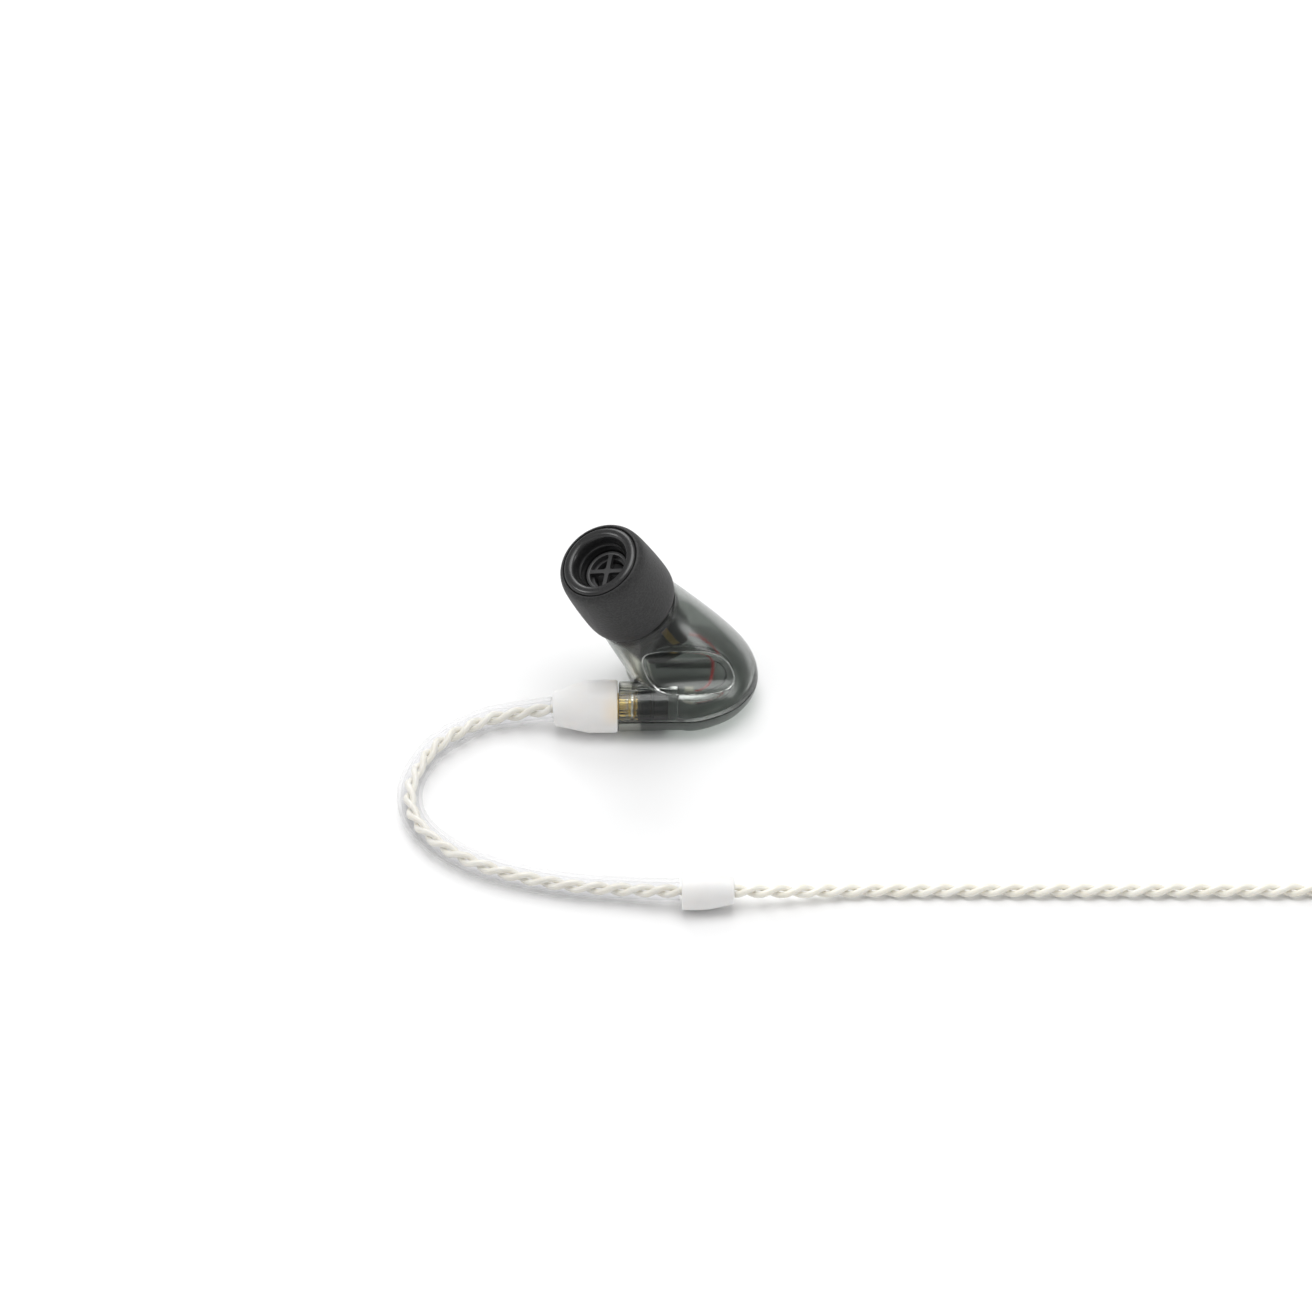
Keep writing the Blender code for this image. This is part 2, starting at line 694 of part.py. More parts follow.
def build_coil():
    cream = material("coil_cream", CREAM, 0.35)
    axis = axis_frame("coil_axis", (*COIL_CENTRE, COIL_MID_Z), (0, 0, 1))
    ring = [(COIL_MID_RADIUS + out, up) for out, up in bundle_section(1.0)]
    turned("lead_coil", ring, cream, axis, 32)


def build_tie():
    """A flat strap that closes round the coil's bundle of turns."""
    outwards = Vector((math.cos(TIE_ANGLE), math.sin(TIE_ANGLE), 0))
    along = Vector((-outwards.y, outwards.x, 0))
    centre = Vector((*COIL_CENTRE, COIL_MID_Z)) + COIL_MID_RADIUS * outwards
    up = Vector((0, 0, 1))

    def strap_rings(grow, half_width):
        section = [out * outwards + rise * up for out, rise in bundle_section(grow)]
        return [[centre + point + side * along for point in section] for side in (-half_width, half_width)]

    black = material("tie_black", BLACK, 0.5)
    tie = loft("coil_tie", strap_rings(TIE_OUTSIDE, TIE_HALF_WIDTH), black)
    cut(tie, loft("tie_inside", strap_rings(TIE_INSIDE, 3 * TIE_HALF_WIDTH), None, cutter=True))


def build_jack():
    axis = axis_frame("jack_axis", (JACK_X, JACK_START_Y, JACK_Z), (0, 1, 0))
    rubber = material("jack_relief_rubber", MILK, 0.5)
    turned("jack_relief", ((0, 8.0), (2.3, 8.0), (2.3, 7.0), (1.35, 0), (0, 0)), rubber, axis, 20)
    metal = material("jack_body_metal", (0.5, 0.5, 0.51), 0.3, 1.0)
    body = ((0, 23.5), (2.9, 23.5), (3.25, 23.0), (3.25, 9.2), (2.7, 8.3), (0, 8.3))
    turned("jack_body", body, metal, axis, 24)
    gold = material("jack_gold", GOLD, 0.25, 1.0)
    band = material("jack_band", BLACK, 0.5)
    turned("jack_sleeve", disc_profile(1.75, 29.9, 23.8), gold, axis, 20)
    turned("jack_band_1", disc_profile(1.7, 30.6, 30.0), band, axis, 20)
    turned("jack_ring", disc_profile(1.75, 32.7, 30.7), gold, axis, 20)
    turned("jack_band_2", disc_profile(1.7, 33.4, 32.8), band, axis, 20)
    tip = ((0, 37.6), (0.7, 37.3), (1.6, 35.6), (1.25, 34.6), (1.7, 33.9), (1.7, 33.5), (0, 33.5))
    turned("jack_tip", tip, gold, axis, 20)


def main():
    clear_scene()
    new_collection(COLLECTION)
    new_collection(CUTTERS)
    build_shells()
    nozzle_axis = axis_frame("nozzle_axis", SHOULDER, NOZZLE_AXIS)
    build_nozzle(nozzle_axis)
    build_tip(nozzle_axis)
    driver_axis = axis_frame("driver_axis", SHOULDER + DRIVER_DATUM * NOZZLE_AXIS, NOZZLE_AXIS)
    build_driver(driver_axis)
    build_diaphragm(driver_axis)
    build_terminals(driver_axis)
    build_wires()
    build_socket()
    build_plug()
    build_boot()
    build_hook()
    build_lead()
    build_coil()
    build_tie()
    build_jack()


main()
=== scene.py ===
import math

import bmesh
import bpy
from mathutils import Matrix, Vector


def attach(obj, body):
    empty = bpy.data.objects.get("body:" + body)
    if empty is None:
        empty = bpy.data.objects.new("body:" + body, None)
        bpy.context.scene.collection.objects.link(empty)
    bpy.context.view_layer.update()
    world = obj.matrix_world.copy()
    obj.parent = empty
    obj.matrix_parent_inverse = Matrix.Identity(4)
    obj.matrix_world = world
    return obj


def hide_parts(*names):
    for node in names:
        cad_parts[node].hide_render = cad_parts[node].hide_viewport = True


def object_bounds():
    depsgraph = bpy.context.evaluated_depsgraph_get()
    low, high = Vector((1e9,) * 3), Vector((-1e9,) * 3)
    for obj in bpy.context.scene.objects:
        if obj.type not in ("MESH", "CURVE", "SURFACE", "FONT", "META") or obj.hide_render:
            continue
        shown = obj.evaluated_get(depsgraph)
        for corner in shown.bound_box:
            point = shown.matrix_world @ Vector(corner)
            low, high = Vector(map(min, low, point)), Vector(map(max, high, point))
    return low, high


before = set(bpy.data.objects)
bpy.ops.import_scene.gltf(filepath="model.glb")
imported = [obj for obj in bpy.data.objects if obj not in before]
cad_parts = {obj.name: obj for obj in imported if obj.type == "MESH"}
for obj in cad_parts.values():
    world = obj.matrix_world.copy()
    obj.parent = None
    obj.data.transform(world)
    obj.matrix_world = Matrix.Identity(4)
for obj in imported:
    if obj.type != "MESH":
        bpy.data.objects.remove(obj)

cad_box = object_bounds()
MM = 0.001


# ---------------------------------------------------------------- camera
# A long lens well back from the table, looking down at 42 degrees past the housing.
# It keeps the earpiece and its ear hook in view, with the lead leaving on the right.

LOOK_DOWN = math.radians(42)
CAMERA_DISTANCE = 0.948
look_at = Vector((-3.79, 1.43, 5.0)) * MM
lens = bpy.data.cameras.new("camera")
lens.lens = 200
lens.sensor_width = 36
camera = bpy.data.objects.new("camera", lens)
bpy.context.scene.collection.objects.link(camera)
camera.location = look_at + CAMERA_DISTANCE * Vector((0, -math.cos(LOOK_DOWN), math.sin(LOOK_DOWN)))
camera.rotation_euler = (math.pi / 2 - LOOK_DOWN, 0, 0)
bpy.context.scene.camera = camera


# ---------------------------------------------------------------- lead
# Two cream insulated strands, each of fine tinned copper, twisted left-handed into one limp lead.
# It leaves the collar, settles on the table, and is wound into a coil of a little over fifteen turns.


class Wire:
    """One output of a node. Sums on it add Math nodes to its tree."""

    def __init__(self, graph, socket):
        self.graph = graph
        self.socket = socket

    def maths(self, operation, *others):
        return self.graph.node("ShaderNodeMath", {"operation": operation}, dict(enumerate((self, *others))))

    def __add__(self, other):
        return self.maths("ADD", other)

    def __mul__(self, other):
        return self.maths("MULTIPLY", other)

    def __sub__(self, other):
        return self.maths("SUBTRACT", other)

    def __rsub__(self, other):
        return self.graph.node("ShaderNodeMath", {"operation": "SUBTRACT"}, {0: other, 1: self})

    def __truediv__(self, other):
        return self.maths("DIVIDE", other)

    def __pow__(self, other):
        return self.maths("POWER", other)

    __radd__ = __add__
    __rmul__ = __mul__

    def step(self, low, high):
        """0 below low and 1 above high, with a soft ramp between them."""
        settings = {"interpolation_type": "SMOOTHSTEP", "clamp": True}
        inputs = {"Value": self, "From Min": low, "From Max": high}
        return self.graph.node("ShaderNodeMapRange", settings, inputs)


class Graph:
    """A node tree that is built one node at a time."""

    def __init__(self, tree):
        self.tree = tree

    def node(self, kind, settings=None, inputs=None, output=0):
        """Add a node: its settings are set first, and then its inputs, by name or by place."""
        made = self.tree.nodes.new(kind)
        for key, value in (settings or {}).items():
            setattr(made, key, value)
        for key, value in (inputs or {}).items():
            self.feed(made.inputs[key], value)
        return Wire(self, made.outputs[output])

    def feed(self, socket, value):
        if isinstance(value, Wire):
            self.tree.links.new(value.socket, socket)
        elif isinstance(value, (tuple, list)) and socket.type == "RGBA":
            socket.default_value = (*value[:3], 1.0)
        else:
            socket.default_value = value


class Finish(Graph):
    """A material on one Principled shader, with the nodes that vary it over the surface."""

    def __init__(self, name, **fixed):
        self.material = bpy.data.materials.new(name)
        self.material.use_nodes = True
        super().__init__(self.material.node_tree)
        self.shader = self.tree.nodes["Principled BSDF"]
        self.output = self.tree.nodes["Material Output"]
        for key, value in fixed.items():
            self.feed(self.shader.inputs[key.replace("_", " ")], value)
        self.place = self.node("ShaderNodeTexCoord", output="Object")

    def turned_place(self, matrix):
        """The object coordinates as a piece's own axis sees them, in metres."""
        inverse = matrix.inverted()
        turn = inverse.to_euler()
        inputs = {"Vector": self.place, "Location": inverse.translation, "Rotation": turn}
        return self.node("ShaderNodeMapping", {"vector_type": "POINT"}, inputs)

    def noise(self, size, detail=2.0, roughness=0.5, place=None, stretch=(1, 1, 1)):
        """Noise whose patches are about size millimetres across."""
        scale = tuple(part / (size * MM) for part in stretch)
        stretched = {0: place or self.place, 1: scale}
        where = self.node("ShaderNodeVectorMath", {"operation": "MULTIPLY"}, stretched)
        inputs = {"Vector": where, "Scale": 1.0, "Detail": detail, "Roughness": roughness}
        return self.node("ShaderNodeTexNoise", {}, inputs)

    def cells(self, size):
        """Cells about size millimetres across."""
        scaled = {0: self.place, "Scale": 1 / (size * MM)}
        where = self.node("ShaderNodeVectorMath", {"operation": "SCALE"}, scaled)
        return self.node("ShaderNodeTexVoronoi", {}, {"Vector": where, "Scale": 1.0})

    def parts(self, place):
        """The X, Y and Z of a vector."""
        split = self.node("ShaderNodeSeparateXYZ", {}, {0: place}).socket.node
        return [Wire(self, output) for output in split.outputs]

    def blend(self, low, high, factor):
        """One colour passing into another."""
        mixed = self.tree.nodes.new("ShaderNodeMix")
        mixed.data_type = "RGBA"
        self.feed(mixed.inputs[0], factor)
        self.feed(mixed.inputs[6], low)
        self.feed(mixed.inputs[7], high)
        return Wire(self, mixed.outputs[2])

    def bump(self, height, depth, strength):
        """A normal raised by height, whose full range is depth millimetres."""
        inputs = {"Height": height, "Distance": depth * MM, "Strength": strength}
        return self.node("ShaderNodeBump", {}, inputs)

    def vary(self, **varying):
        for key, value in varying.items():
            self.feed(self.shader.inputs[key.replace("_", " ")], value)
        return self.material

    def lets_lamps_through(self, tint):
        """Lamp rays pass straight through, tinted, so that what lies behind is lit."""
        clear = self.node("ShaderNodeBsdfTransparent", {}, {"Color": tint})
        ray = self.node("ShaderNodeLightPath", output="Is Shadow Ray")
        shown = Wire(self, self.shader.outputs[0])
        mixed = self.node("ShaderNodeMixShader", {}, {0: ray, 1: shown, 2: clear})
        self.feed(self.output.inputs["Surface"], mixed)


def catmull_rom(p0, p1, p2, p3, t):
    straight = 2 * p1 + (p2 - p0) * t
    bend = (2 * p0 - 5 * p1 + 4 * p2 - p3) * t**2 + (3 * p1 - p0 - 3 * p2 + p3) * t**3
    return 0.5 * (straight + bend)


def smooth_route(route, spacing):
    """Points at an even spacing along a smooth curve through the route, in millimetres."""
    knots = [Vector(point) for point in route]
    knots = [2 * knots[0] - knots[1], *knots, 2 * knots[-1] - knots[-2]]
    fine = []
    for p0, p1, p2, p3 in zip(knots, knots[1:], knots[2:], knots[3:]):
        fine += [catmull_rom(p0, p1, p2, p3, part / 32) for part in range(32)]
    fine.append(knots[-2])
    return evenly(fine, spacing)


def evenly(points, spacing):
    lengths = [0.0]
    for a, b in zip(points, points[1:]):
        lengths.append(lengths[-1] + (b - a).length)
    count = max(2, round(lengths[-1] / spacing))
    spaced = []
    segment = 0
    for i in range(count + 1):
        target = lengths[-1] * i / count
        while segment < len(points) - 2 and lengths[segment + 1] < target:
            segment += 1
        share = (target - lengths[segment]) / (lengths[segment + 1] - lengths[segment])
        spaced.append(points[segment].lerp(points[segment + 1], share))
    return spaced


def ease(low, high, value):
    t = min(1.0, max(0.0, (value - low) / (high - low)))
    return t * t * (3 - 2 * t)


LEAD_ROUTE = (
    (4.0, -40.0, 2.45), (6.4, -40.0, 2.45), (9.0, -39.97, 2.40), (13.5, -39.45, 1.85),
    (19.0, -38.60, 1.15), (26.0, -38.3, 0.95), (45.0, -38.3, 0.95), (66.0, -38.3, 0.95),
    (81.0, -38.35, 0.95), (87.0, -38.9, 0.97), (93.5, -40.3, 1.0),
)
LEAD_DIAMETER = 1.8
COIL_CENTRE = Vector((100.0, -27.3, 0.0))
COIL_COLUMNS = (13.7, 11.9, 10.1, 8.3)
COIL_TURNS = 15.25
COIL_START = math.radians(-90)
COLUMN_SHIFT = 0.17
TIE_ANGLE = math.radians(140)
JACK_ROUTE = ((113.75, -25.2, 6.35), (113.45, -21.8, 6.1), (112.7, -18.6, 5.1), (111.7, -15.8, 3.95))
JACK_END = ((111.1, -13.4, 3.42), (111.0, -11.2, 3.3), (111.0, -8.6, 3.3))


def coil_point(turn):
    """Where the lead runs after so many turns: each row goes in or out by one column a turn."""
    row, within = divmod(turn, 4)
    place, part = divmod(within, 1)
    shift = ease(1 - COLUMN_SHIFT, 1, part)
    column = min(place + shift, 3)
    row, column = int(row), column if int(row) % 2 == 0 else 3 - column
    low = int(column)
    radius = COIL_COLUMNS[low] + (column - low) * (COIL_COLUMNS[min(low + 1, 3)] - COIL_COLUMNS[low])
    angle = COIL_START + 2 * math.pi * turn
    climb = row + (shift if place == 3 else 0)
    lift = 0.175 * (1 + math.cos(angle - TIE_ANGLE))
    height = LEAD_DIAMETER / 2 + 0.05 + lift + LEAD_DIAMETER * climb
    return COIL_CENTRE + Vector((radius * math.cos(angle), radius * math.sin(angle), height))


coil_points = [coil_point(COIL_TURNS * i / 380) for i in range(1, 380)]
lead_path = smooth_route((*LEAD_ROUTE, *coil_points, *JACK_ROUTE, *JACK_END), 0.9)


def geometry_graph(name, inputs, result):
    """A Geometry Nodes tree with named inputs, and the wires that its inputs arrive on."""
    tree = bpy.data.node_groups.new(name, "GeometryNodeTree")
    for key, kind in inputs.items():
        tree.interface.new_socket(key, in_out="INPUT", socket_type="NodeSocket" + kind)
    tree.interface.new_socket(result, in_out="OUTPUT", socket_type="NodeSocketGeometry")
    graph = Graph(tree)
    given = graph.node("NodeGroupInput").socket.node
    return graph, {output.name: Wire(graph, output) for output in given.outputs}


def dressed_tree(graph, shape, material):
    """End a tree: its shape is made real and given its material."""
    whole = graph.node("GeometryNodeRealizeInstances", {}, {0: shape})
    dressed = graph.node("GeometryNodeSetMaterial", {}, {"Geometry": whole, "Material": material})
    end = graph.tree.nodes.new("NodeGroupOutput")
    graph.tree.links.new(dressed.socket, end.inputs[0])
    return graph.tree


def twisted_pair_tree():
    """Two round strands wound left-handed about the curve that the tree is given."""
    inputs = {"Path": "Geometry", "Strand radius": "Float", "Offset": "Float", "Pitch": "Float"}
    inputs |= {"Step": "Float", "Sides": "Int", "Material": "Material"}
    graph, wanted = geometry_graph("twisted_pair", inputs, "Pair")
    fine = {"Curve": wanted["Path"], "Length": wanted["Step"]}
    path = graph.node("GeometryNodeResampleCurve", {"mode": "LENGTH"}, fine)
    along = graph.node("GeometryNodeSplineParameter", output="Length")
    outwards = graph.node("GeometryNodeInputNormal")
    tangent = graph.node("GeometryNodeInputTangent")
    across = graph.node("ShaderNodeVectorMath", {"operation": "CROSS_PRODUCT"}, {0: tangent, 1: outwards})
    ring = {"Resolution": wanted["Sides"], "Radius": wanted["Strand radius"]}
    section = graph.node("GeometryNodeCurvePrimitiveCircle", {}, ring)
    both = graph.node("GeometryNodeJoinGeometry")
    for phase in (0.0, math.pi):
        angle = phase - along * (2 * math.pi) / wanted["Pitch"]
        out_part = angle.maths("COSINE") * wanted["Offset"]
        over_part = angle.maths("SINE") * wanted["Offset"]
        a = graph.node("ShaderNodeVectorMath", {"operation": "SCALE"}, {0: outwards, "Scale": out_part})
        b = graph.node("ShaderNodeVectorMath", {"operation": "SCALE"}, {0: across, "Scale": over_part})
        moved = graph.node("ShaderNodeVectorMath", {"operation": "ADD"}, {0: a, 1: b})
        strand = graph.node("GeometryNodeSetPosition", {}, {"Geometry": path, "Offset": moved})
        swept = {"Curve": strand, "Profile Curve": section, "Fill Caps": True}
        tube = graph.node("GeometryNodeCurveToMesh", {}, swept)
        graph.feed(both.socket.node.inputs[0], tube)
    return dressed_tree(graph, both, wanted["Material"])


def linked(name, data, finish=None):
    piece = bpy.data.objects.new(name, data)
    bpy.context.scene.collection.objects.link(piece)
    if finish:
        data.materials.clear()
        data.materials.append(finish)
    return piece


def made_plain(name, source, finish):
    """The evaluated shape of an object as a plain mesh piece, with its source removed."""
    bpy.context.view_layer.update()
    evaluated = source.evaluated_get(bpy.context.evaluated_depsgraph_get())
    mesh = bpy.data.meshes.new_from_object(evaluated)
    mesh.name = name
    bpy.data.objects.remove(source, do_unlink=True)
    piece = linked(name, mesh, finish)
    mesh.shade_smooth()
    return piece


def line_object(name, points):
    """A curve object with one open spline through points in millimetres."""
    curve = bpy.data.curves.new(name, "CURVE")
    curve.dimensions = "3D"
    spline = curve.splines.new("POLY")
    spline.points.add(len(points) - 1)
    for slot, point in zip(spline.points, points):
        slot.co = (*(point * MM), 1)
    return linked(name, curve)


def run_tree(host, tree, **inputs):
    """Give an object a Geometry Nodes tree, with its inputs set by the sockets' identifiers."""
    modifier = host.modifiers.new(tree.name, "NODES")
    modifier.node_group = tree
    for item in tree.interface.items_tree:
        key = item.name.replace(" ", "_")
        if item.in_out == "INPUT" and key in inputs:
            modifier[item.identifier] = inputs[key]


STRAND_RADIUS, STRAND_OFFSET, TWIST_PITCH = 0.42, 0.47, 5.9

cream = Finish("cream_insulation", IOR=1.48, Coat_Weight=0.25, Coat_Roughness=0.12)
cream.feed(cream.shader.inputs["Subsurface Weight"], 0.25)
cream.feed(cream.shader.inputs["Subsurface Radius"], (0.0012, 0.0011, 0.0009))
cream.feed(cream.shader.inputs["Subsurface Scale"], 0.4)
mottle = cream.noise(2.4, 3).step(0.3, 0.75)
speck = cream.noise(0.14, 2)
cream.vary(
    Base_Color=cream.blend((0.86, 0.83, 0.74), (0.91, 0.89, 0.82), mottle),
    Roughness=0.22 + speck * 0.14,
    Normal=cream.bump(speck, 0.006, 0.5),
)
pair_tree = twisted_pair_tree()


def twisted_pair(name, points, step, sides):
    host = line_object(name + "_path", points)
    sizes = {"Strand_radius": STRAND_RADIUS * MM, "Offset": STRAND_OFFSET * MM, "Pitch": TWIST_PITCH * MM}
    run_tree(host, pair_tree, Step=step * MM, Sides=sides, Material=cream.material, **sizes)
    return made_plain(name, host, cream.material)


twisted_lead = twisted_pair("twisted_lead", lead_path, 0.42, 10)
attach(twisted_lead, "cable")
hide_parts("lead", "lead_coil", "lead_tail")


# ---------------------------------------------------------------- coil tie
# A soft woven strap of hook-and-loop tape, closed on itself round the bundle of turns.
# Its free end lies over the outside as a second layer.


def oriented(mesh):
    """Weld the mesh and point its faces outwards."""
    bm = bmesh.new()
    bm.from_mesh(mesh)
    bmesh.ops.remove_doubles(bm, verts=bm.verts, dist=0.0000005)
    bmesh.ops.recalc_face_normals(bm, faces=bm.faces)
    bm.to_mesh(mesh)
    bm.free()
    return mesh


def skin(name, rings, finish, wrapped=False, sharp=40):
    """A piece skinned over closed rings of points in millimetres, with flat ends unless it is wrapped."""
    bm = bmesh.new()
    rows = [[bm.verts.new(Vector(point) * MM) for point in ring] for ring in rings]
    count = len(rows[0])
    pairs = list(zip(rows, rows[1:]))
    if wrapped:
        pairs.append((rows[-1], rows[0]))
    for low, high in pairs:
        for i in range(count):
            j = (i + 1) % count
            bm.faces.new((low[i], low[j], high[j], high[i]))
    if not wrapped:
        bm.faces.new(rows[0])
        bm.faces.new(rows[-1])
    bmesh.ops.recalc_face_normals(bm, faces=bm.faces)
    mesh = bpy.data.meshes.new(name)
    bm.to_mesh(mesh)
    bm.free()
    mesh.shade_smooth()
    mesh.set_sharp_from_angle(angle=math.radians(sharp))
    return linked(name, mesh, finish)


def rounded(corners, radius, parts=5):
    """A closed outline of 2D corners, each rounded by a short arc."""
    points = []
    for i, corner in enumerate(corners):
        here, before, after = Vector(corner), Vector(corners[i - 1]), Vector(corners[(i + 1) % len(corners)])
        reach_in = min(radius, 0.45 * (before - here).length)
        reach_out = min(radius, 0.45 * (after - here).length)
        start = here + (before - here).normalized() * reach_in
        end = here + (after - here).normalized() * reach_out
        for part in range(parts + 1):
            t = part / parts
            points.append((1 - t) ** 2 * start + 2 * t * (1 - t) * here + t * t * end)
    return points


TIE_HALF_WIDTH = 1.1
BUNDLE_HALF_WIDTH, BUNDLE_HALF_HEIGHT, BUNDLE_MIDDLE = 3.72, 3.78, 4.05

tape = Finish("black_loop_tape")
fibre = tape.cells(0.16)
pile = tape.noise(0.07, 3)
tape.vary(
    Base_Color=tape.blend((0.008, 0.008, 0.009), (0.035, 0.035, 0.038), pile),
    Roughness=0.7 + 0.25 * pile,
    Normal=tape.bump(fibre + pile * 0.6, 0.05, 0.8),
)
tape.feed(tape.shader.inputs["Sheen Weight"], 0.3)

tie_out = Vector((math.cos(TIE_ANGLE), math.sin(TIE_ANGLE), 0))
tie_along = Vector((-tie_out.y, tie_out.x, 0))
tie_middle = COIL_CENTRE + 11.0 * tie_out + Vector((0, 0, BUNDLE_MIDDLE))
w, h = BUNDLE_HALF_WIDTH, BUNDLE_HALF_HEIGHT
bundle = [(-w, -h), (w, -h), (w, h), (-w, h)]


def strap_path(grow):
    corners = [(x + math.copysign(grow, x), y + math.copysign(grow, y)) for x, y in bundle]
    return rounded(corners, 2.2, 8)


def strap_point(flat, across):
    return tie_middle + flat.x * tie_out + flat.y * Vector((0, 0, 1)) + across * tie_along


def strap_rings(inner_loop, outer_loop, half):
    """The strap's cross-sections, between its inner and its outer face."""
    rings = []
    for inner, outer in zip(inner_loop, outer_loop):
        edge = [(inner, -half), (inner, half), (outer, half), (outer, -half)]
        rings.append([strap_point(flat, across) for flat, across in edge])
    return rings


def free_end(grow):
    """The part of a loop that the strap's loose end covers."""
    return [point for point in strap_path(grow) if point.y > -1.2 and point.x > -2.9]


wrap = strap_rings(strap_path(0.02), strap_path(0.27), TIE_HALF_WIDTH)
tie = skin("tie_strap", wrap, tape.material, wrapped=True)
loose = strap_rings(free_end(0.29), free_end(0.42), TIE_HALF_WIDTH - 0.12)
tie_end = skin("tie_free_end", loose, tape.material)
for strap in (tie, tie_end):
    bevel = strap.modifiers.new("soft_edges", "BEVEL")
    bevel.width = 0.05 * MM
    bevel.segments = 2
    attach(strap, "cable")
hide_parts("coil_tie")


# ---------------------------------------------------------------- jack
# A turned 3.5 mm plug: bright plated brass, black insulating bands, a grey metal grip and a milky relief.
# The lead runs in through the relief, and the jack lies on the table beside the coil.


def filleted(profile, radius, parts=4):
    """An open profile of (radius, height) whose inner corners are rounded."""
    flat = [Vector(point[:2]) for point in profile]
    points = [flat[0]]
    for before, here, after in zip(flat, flat[1:], flat[2:]):
        reach = min(radius, 0.42 * (before - here).length, 0.42 * (after - here).length)
        start = here + (before - here).normalized() * reach
        end = here + (after - here).normalized() * reach
        for part in range(parts + 1):
            t = part / parts
            points.append((1 - t) ** 2 * start + 2 * t * (1 - t) * here + t * t * end)
    return points + [flat[-1]]


def axis_matrix(origin, direction, along_x=Vector((1, 0, 0))):
    """A frame whose Z runs along a direction, with its origin given in millimetres."""
    z = Vector(direction).normalized()
    x = (along_x - along_x.dot(z) * z).normalized()
    y = z.cross(x)
    return Matrix.Translation(Vector(origin) * MM) @ Matrix((x, y, z)).transposed().to_4x4()


def turned(name, profile, matrix, finish, fillet=0.08, steps=96, sharp=50):
    """Turn a profile of (radius, height) about the frame's Z. A profile off the axis is a closed ring."""
    ring = profile[0][0] > 0
    if ring:
        outline = rounded(profile, fillet, 4) if fillet else [Vector(point) for point in profile]
    else:
        outline = filleted(profile, fillet) if fillet else [Vector(point) for point in profile]
    bm = bmesh.new()
    rows = []
    for point in outline:
        if point.x < 0.0001:
            rows.append([bm.verts.new((0, 0, point.y * MM))])
            continue
        angles = [2 * math.pi * i / steps for i in range(steps)]
        ring_points = [(point.x * math.cos(a), point.x * math.sin(a), point.y) for a in angles]
        rows.append([bm.verts.new(Vector(ring_point) * MM) for ring_point in ring_points])
    pairs = list(zip(rows, rows[1:])) + ([(rows[-1], rows[0])] if ring else [])
    for low, high in pairs:
        for i in range(steps):
            j = (i + 1) % steps
            if len(low) == 1 and len(high) == 1:
                continue
            if len(low) == 1:
                bm.faces.new((low[0], high[j], high[i]))
            elif len(high) == 1:
                bm.faces.new((low[i], low[j], high[0]))
            else:
                bm.faces.new((low[i], low[j], high[j], high[i]))
    bmesh.ops.recalc_face_normals(bm, faces=bm.faces)
    bmesh.ops.transform(bm, matrix=matrix, verts=bm.verts)
    mesh = bpy.data.meshes.new(name)
    bm.to_mesh(mesh)
    bm.free()
    mesh.shade_smooth()
    mesh.set_sharp_from_angle(angle=math.radians(sharp))
    piece = linked(name, mesh, finish)
    even = piece.modifiers.new("even_shading", "WEIGHTED_NORMAL")
    even.keep_sharp = True
    return piece


def metal(name, dark, light, roughness, axis):
    """Turned metal: fine lathe lines round its axis, and soft handling marks."""
    made = Finish(name, Metallic=1.0)
    place = made.turned_place(axis)
    lines = made.noise(0.05, 3, place=place, stretch=(0.12, 0.12, 1))
    marks = made.noise(1.6, 3)
    made.vary(
        Base_Color=made.blend(dark, light, marks.step(0.3, 0.7)),
        Roughness=roughness + 0.1 * lines + 0.0525 * marks,
        Normal=made.bump(lines, 0.004, 0.45),
    )
    return made.material


def grained(name, dark, light, size, detail, gloss=None, relief=None, **fixed):
    """A plain surface whose one grain sets its tone, its roughness (least, spread) and its relief."""
    made = Finish(name, **fixed)
    grain = made.noise(size, detail)
    made.vary(Base_Color=made.blend(dark, light, grain))
    if gloss:
        made.vary(Roughness=gloss[0] + gloss[1] * grain)
    if relief:
        made.vary(Normal=made.bump(grain, *relief))
    return made.material


JACK_AXIS = axis_matrix((111.0, -9.2, 3.3), (0, 1, 0))
plate = metal("jack_plate", (0.80, 0.60, 0.25), (0.92, 0.74, 0.40), 0.14, JACK_AXIS)
grip_metal = metal("jack_grip_metal", (0.34, 0.34, 0.35), (0.46, 0.46, 0.47), 0.24, JACK_AXIS)
band_black = grained("jack_band_plastic", (0.01,) * 3, (0.03,) * 3, 0.3, 3, Roughness=0.35)

relief_profile = [(0, 8.1), (2.3, 8.1), (2.3, 6.9), (2.18, 6.7)]
for rib in range(5):
    height = 5.9 - 1.15 * rib
    width = 2.1 - 0.14 * rib
    relief_profile += [(width, height + 0.35), (width, height - 0.35)]
    relief_profile += [(width - 0.28, height - 0.42), (width - 0.3, height - 0.72)]
relief_profile += [(1.3, 0), (0, 0)]
jack_tip_profile = [
    (0, 37.6), (0.45, 37.52), (0.85, 37.1), (1.35, 36.2), (1.62, 35.6), (1.5, 35.15), (1.25, 34.6),
    (1.45, 34.15), (1.72, 33.8), (1.72, 33.5), (0, 33.5),
]
grip_profile = [(0, 23.5), (2.7, 23.5), (3.0, 23.3), (3.22, 22.6)]
grip_profile += [(3.25, 21.4), (3.12, 21.2), (3.12, 20.9), (3.25, 20.7)]
grip_profile += [(3.25, 12.2), (3.12, 12.0), (3.12, 11.7), (3.25, 11.5)]
grip_profile += [(3.25, 9.6), (2.75, 8.3), (0, 8.3)]
shank_profile = [(0, 29.9), (1.75, 29.9), (1.75, 23.9), (2.2, 23.8), (2.2, 23.5), (0, 23.5)]


